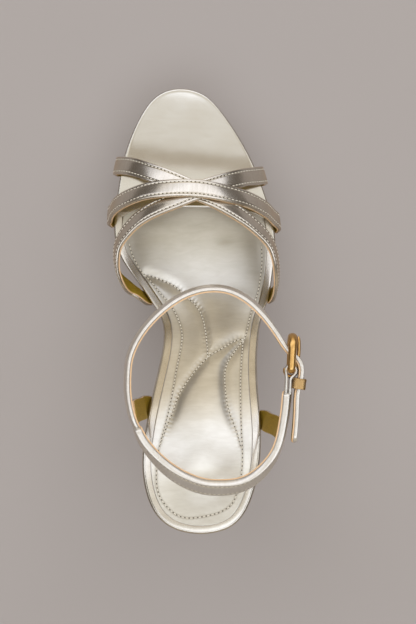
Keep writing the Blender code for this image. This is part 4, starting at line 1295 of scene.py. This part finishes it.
def side_strap(name, rows):
    """A side strap from the seam by the heel up to the ankle strap, facing away from the heel's middle."""
    path = along_curve([*seam_rows(rows["seam"]), *rows["over"]], 150)
    faces = np.column_stack([path[:, :2] - HEEL_CORE, np.zeros(len(path))])
    faces[:, 1] *= HEEL_TURN
    faces = settle(path, faces, (rows["seam"], None))
    slant = slope_of(rim_top, rows["seam"][1]) * np.clip(1 - lengths(path) / SIDE_STRAP_SLANT, 0, 1)
    sizes = (rows["width"], thinned(path, True, False))
    return strap(name, path, faces, *sizes, "ankle_straps", STRAP_LEATHER, slant)


def fitting_axes(along):
    """Axes of a metal fitting: along the strap, up, and out of the ankle."""
    along = np.array([*along, 0.0]) / math.hypot(*along)
    return along, UP, np.array([along[1], -along[0], 0.0])


def placed(points, centre, along):
    """Points given along, up and out, in the fitting's place."""
    return np.array(centre) + np.asarray(points, float) @ np.array(fitting_axes(along))


def buckle_tab():
    """The thin tab folded round the buckle's rear bar: a sheet along its folded path, with cells left out
    for the prong's slot, given its thickness by Solidify."""
    fold = BUCKLE_WIRE / 2 + GAP + TAB_THICKNESS / 2
    turns = np.radians(np.linspace(-100, 100, 9))
    bend = np.stack([-BUCKLE_HALF_LENGTH + fold * np.cos(turns), fold * np.sin(turns)], axis=1)
    local = np.array(TAB_ROOT) - BUCKLE_CENTRE[:2]
    along, _, out = fitting_axes(BUCKLE_ALONG)
    root = np.array([local @ along[:2], local @ out[:2]])
    apart = TAB_LEAF_APART * TAB_THICKNESS
    neck = [-BUCKLE_HALF_LENGTH - TAB_NECK - back for back in (0.0, 1.5, 3.0)]
    leg = np.stack([[*neck, root[0]], np.full(4, root[1])], axis=1)
    rows = np.concatenate([leg[::-1] - (0, apart), bend, leg + (0, apart)])
    local_path = along_curve(np.column_stack([rows[:, 0], 0 * rows[:, 0], rows[:, 1]]), 90)
    path = placed(local_path, BUCKLE_CENTRE, BUCKLE_ALONG)
    across = np.linspace(-1, 1, 31) * (TAB_WIDTH / 2 - TAB_TRIM)
    grid = path[:, None] + across[None, :, None] * UP
    index = np.arange(grid[..., 0].size).reshape(grid.shape[:2])
    in_fold = local_path[:-1, 0] > -BUCKLE_HALF_LENGTH - TAB_SLOT_REACH
    in_slot = np.abs(across[:-1] + across[1:]) / 2 < TAB_SLOT / 2
    keep = ~(in_fold[:, None] & in_slot[None])
    mesh = plan_mesh("buckle_tab_leather", grid, quads_of(index)[keep])
    loose = bmesh.new()
    loose.from_mesh(mesh)
    bmesh.ops.delete(loose, geom=[v for v in loose.verts if not v.link_faces], context="VERTS")
    loose.to_mesh(mesh)
    loose.free()
    tab = settled("buckle_tab_leather", mesh, [ANKLE_LEATHER], 60.0)
    wall = tab.modifiers.new("thickness", "SOLIDIFY")
    wall.thickness = TAB_THICKNESS * MM
    wall.offset = 0.0
    stands_for(tab, "strap_leather", "ankle_straps")


def punched_holes():
    """Holes in the ankle strap's tail, at places measured from its end: flat dark beads on its two
    faces, painted shade in place of open holes."""
    path = ankle_path()
    faces = ring_faces(path, np.zeros(len(path)), 1)
    stops = lengths(path)[-1] - np.array(PUNCHED_HOLE_PLACES)
    places = []
    for turn in (1, -1):
        rows = evenly(np.column_stack([path, turn * faces]), stops)
        rows[:, :3] += rows[:, 3:6] * (ANKLE_TAIL_THICKNESS / 2 + 0.02)
        places.append(np.concatenate([rows, np.broadcast_to(UP, (len(rows), 3))], axis=1))
    holes = beads("punched_holes", places, PUNCHED_HOLE_SHAPE, PUNCHED_HOLE_SIZES, 0.0, NEEDLE_HOLE)
    stands_for(holes, "strap_leather", "ankle_straps")


def build_ankle():
    """Ankle strap, heel strap, side straps and buckle tab, sewn along their edges."""
    rows = long_strap()
    rows += heel_strap()
    rows += side_strap("side_strap_in", SIDE_STRAP_IN)
    rows += side_strap("side_strap_out", SIDE_STRAP_OUT)
    sew("ankle_stitches", "ankle_needle_holes", rows, "strap_leather", ANKLE_STITCH_SINK)
    buckle_tab()
    punched_holes()


def rounded_rectangle(half_x, half_y, corners, count):
    """Points evenly round a rectangle with arc corners of one radius ahead and another behind."""
    arc = np.linspace(0, math.pi / 2, 17)
    points = []
    for turn, (sx, sy) in enumerate(((1, 1), (-1, 1), (-1, -1), (1, -1))):
        angles = arc + turn * math.pi / 2
        corner = corners[0] if sx > 0 else corners[1]
        centre = np.array([sx * (half_x - corner), sy * (half_y - corner)])
        points.append(centre + corner * np.stack([np.cos(angles), np.sin(angles)], axis=1))
    points = np.concatenate(points + [points[0][:1]])
    points = np.column_stack([points, 0 * points[:, 0]])
    return evenly(points, np.linspace(0, lengths(points)[-1], count, endpoint=False))[:, :2]


def bar(name, path, section, ring, sideways, swell=None, relief=0.0, finish=GILT):
    """A metal bar: one section carried along a path; sideways stays in the section, swell scales it, and
    relief is a height (station, section point) that is added on the side away from the middle of the
    path."""
    run = unit(np.roll(path, -1, axis=0) - np.roll(path, 1, axis=0)) if ring else directions(path)
    first = square_to(np.broadcast_to(sideways, path.shape), run)
    second = np.cross(run, first)
    swell = np.ones(len(path)) if swell is None else swell
    section = section[None] * swell[:, None, None]
    away = np.sign(np.sum(second * (path - path.mean(axis=0))))
    rise = section[..., 1:] + away * np.where(away * section[..., 1:] > 0, relief, 0)
    grid = path[:, None] + section[..., :1] * first[:, None] + rise * second[:, None]
    return skin(name, grid, [finish], ring_along=ring, ring_across=True, fan=(not ring, not ring))


def round_section(width, count=20):
    """Points of a circle, as the section of a wire."""
    angles = np.arange(count) * 2 * math.pi / count
    return width / 2 * np.stack([np.cos(angles), np.sin(angles)], axis=1)


def build_buckle():
    """Frame: an oval bar bent to a rectangle, rounder and fuller at the front. Prong: a thinner bar hooked
    round the rear side, bowed and laid on the front one, drawn to a point. Keeper: a flat band bent to a
    loop, with a pressed knurl, the product of two waves, along the middle of its face."""
    corners = (BUCKLE_FRONT_CORNER, BUCKLE_REAR_CORNER)
    flat = rounded_rectangle(BUCKLE_HALF_LENGTH, BUCKLE_HALF_HEIGHT, corners, 200)
    path = placed(np.column_stack([flat, 0 * flat[:, 0]]), BUCKLE_CENTRE, BUCKLE_ALONG)
    out = fitting_axes(BUCKLE_ALONG)[2]
    fuller = 1 + BUCKLE_FULLER * smooth_step((flat[:, 0] - BUCKLE_FULLER_FROM) / BUCKLE_FULLER_RUN)
    oval = round_section(BUCKLE_WIRE) * (BUCKLE_BREADTH, 1)
    loop = bar("buckle_frame_gilt", path, oval, True, out, fuller)
    stands_for(loop, "gilt_metal", "buckle_frame")
    hook = (BUCKLE_BREADTH * BUCKLE_WIRE + PRONG_WIRE) / 2
    turns = np.radians(np.linspace(-70, -270, 12))
    curl = np.stack([-BUCKLE_HALF_LENGTH + hook * np.cos(turns), 0 * turns, hook * np.sin(turns)], axis=1)
    reach = np.linspace(-BUCKLE_HALF_LENGTH + 2, PRONG_TIP_REACH, 9)
    bow = hook + PRONG_BOW * np.sin(math.pi * np.linspace(0, 1, 9))
    rows = np.concatenate([curl, np.stack([reach, 0 * reach, bow], axis=1)])
    path = placed(along_curve(rows, 90), BUCKLE_CENTRE, BUCKLE_ALONG)
    left = lengths(path)[-1] - lengths(path)
    point = 1 - PRONG_POINT * (1 - np.clip(left / PRONG_POINT_RUN, 0, 1)) ** 2
    pin = bar("buckle_prong_gilt", path, round_section(PRONG_WIRE), False, UP, point)
    stands_for(pin, "gilt_metal", "buckle_prong")
    loop = rounded_rectangle(KEEPER_HALF_REACH, KEEPER_HALF_HEIGHT, (KEEPER_CORNER,) * 2, 240)
    path = placed(np.column_stack([0 * loop[:, 0], loop[:, 1], loop[:, 0]]), KEEPER_CENTRE, KEEPER_ALONG)
    section = rounded_rectangle(KEEPER_BAND / 2, KEEPER_SHEET / 2, (KEEPER_SHEET_CORNER,) * 2, 72)
    turn = 2 * math.pi / KNURL_PITCH
    waves = np.cos(turn * lengths(path))[:, None] * np.cos(turn * section[:, 0])[None]
    pressed = KNURL_DEPTH * (waves - KNURL_SINK) * (np.abs(section[:, 0]) < KNURL_HALF_WIDTH)
    along = fitting_axes(KEEPER_ALONG)[0]
    band = bar("strap_keeper_gilt", path, section, True, along, relief=pressed[..., None], finish=KEEPER_GILT)
    stands_for(band, "gilt_metal", "strap_keeper")


def build_stage():
    """A plain floor under the sole, a turned bank of broad lamps above, and a dim warm surround with a
    paler wall beyond the toe and behind the heel."""
    signs = ((-1, -1), (1, -1), (1, 1), (-1, 1))
    corners = [(x * FLOOR_REACH, y * FLOOR_REACH, -FLOOR_DROP) for x, y in signs]
    mesh = bpy.data.meshes.new("studio_floor")
    mesh.from_pydata(corners, [], [(0, 1, 2, 3)])
    table = plain_finish("matt_light_table", ("#8D8681", "#8B847F"), 60, 0.9, (0.8, 0.01))
    sheet = table.node_tree.nodes["Principled BSDF"].inputs
    sheet["Emission Color"].default_value = linear("#C6BEB9")
    sheet["Emission Strength"].default_value = FLOOR_GLOW
    mesh.materials.append(table)
    floor = bpy.data.objects.new("studio_floor", mesh)
    bpy.context.scene.collection.objects.link(floor)
    lamps = (
        # name, place along and across the bank, size along and across, brightness, colour
        ("heel_lamp", (0.0, -0.87), (1.2, 1.25), 2.12, (0.96, 1.0, 1.09)),
        ("inner_lamp", (-1.05, -0.58), (0.9, 1.24), 1.8, (0.96, 1.0, 1.09)),
        ("outer_lamp", (1.05, -0.58), (0.9, 1.24), 1.8, (0.96, 1.0, 1.09)),
        ("seat_lamp", (0.0, -0.1325), (1.2, 0.225), 1.03, (1.0, 0.985, 0.94)),
        ("gap_lamp", (0.0, 0.01), (1.2, 0.06), 0.5, (1.0, 0.86, 0.66)),
        ("crown_lamp", (0.5, 0.27), (3.2, 0.46), 1.15, (0.99, 0.97, 0.91)),
        ("rise_lamp", (0.7, 0.73), (3.6, 0.46), 1.72, (0.97, 0.99, 1.04)),
        ("toe_lamp", (0.85, 1.33), (5.5, 0.74), 2.03, (0.96, 1.0, 1.11)),
        ("reach_lamp", (0.85, 2.07), (5.5, 0.74), 1.36, (0.96, 1.0, 1.11)),
        ("far_lamp", (1.4, 2.87), (4.4, 0.86), 1.25, (1.0, 0.98, 0.95)),
    )
    turn = math.radians(BANK_TURN)
    for name, (along, across), (length, width), brightness, colour in lamps:
        lamp = bpy.data.lights.new(name, "AREA")
        lamp.shape = "RECTANGLE"
        lamp.size = length
        lamp.size_y = width
        lamp.energy = brightness * math.pi * length * width
        lamp.color = colour
        holder = bpy.data.objects.new(name, lamp)
        x = along * math.cos(turn) - across * math.sin(turn)
        y = along * math.sin(turn) + across * math.cos(turn)
        holder.location = (x, y, BANK_HEIGHT)
        holder.rotation_euler[2] = turn
        bpy.context.scene.collection.objects.link(holder)
    world = bpy.data.worlds.new("studio_surround")
    world.use_nodes = True
    tree = world.node_tree
    tree.nodes.clear()
    sky = node(tree, "TexCoord").outputs["Generated"]
    parts = node(tree, "SeparateXYZ", None, {"Vector": sky}).outputs
    aside = node(tree, "Math", {"operation": "ABSOLUTE"}, {0: parts["X"]})
    ramps = []
    for source, first, last, start, end in (
        # direction looked in, where the ramp starts and ends, and its values there
        (parts["Y"], 0.6, 0.95, 0.0, 1.0),
        (aside, 0.1, 0.5, 1.0, 0.0),
        (parts["Y"], -0.3, -0.9, 0.0, 0.8),
        (parts["Z"], 0.3, 0.6, 1.0, 0.0),
    ):
        steps = {"From Min": first, "From Max": last, "To Min": start, "To Max": end}
        settings = {"interpolation_type": "SMOOTHSTEP", **steps}
        ramps.append(node(tree, "MapRange", settings, {"Value": source}))
    toe_side, middle, heel_side, low = ramps
    toe_wall = node(tree, "Math", {"operation": "MULTIPLY"}, {0: toe_side, 1: middle})
    ends = node(tree, "Math", {"operation": "ADD"}, {0: toe_wall, 1: heel_side})
    both = node(tree, "Math", {"operation": "MULTIPLY"}, {0: ends, 1: low})
    shade = node(tree, "Mix", {"data_type": "RGBA", 6: SURROUND_TONE, 7: WALL_TONE}, {0: both})
    glow = node(tree, "Background", None, {"Color": shade})
    node(tree, "OutputWorld", None, {"Surface": glow})
    bpy.context.scene.world = world


def build_camera():
    """A camera straight above the ankle, with the toe at the top of the picture."""
    lens = bpy.data.cameras.new("photo_camera")
    lens.sensor_fit = "VERTICAL"
    lens.sensor_height = SENSOR_HEIGHT
    lens.lens = SENSOR_HEIGHT * CAMERA_FOCAL / PICTURE_HEIGHT
    lens.clip_start = 0.05
    camera = bpy.data.objects.new("photo_camera", lens)
    camera.location = (SHIFT[0] * MM, SHIFT[1] * MM, CAMERA_HEIGHT)
    bpy.context.scene.collection.objects.link(camera)
    bpy.context.scene.camera = camera


build_camera()
build_stage()
build_rim()
build_platform()
build_sock()
build_heel()
build_vamp()
build_ankle()
build_buckle()
bpy.context.scene.view_settings.view_transform = "Standard"
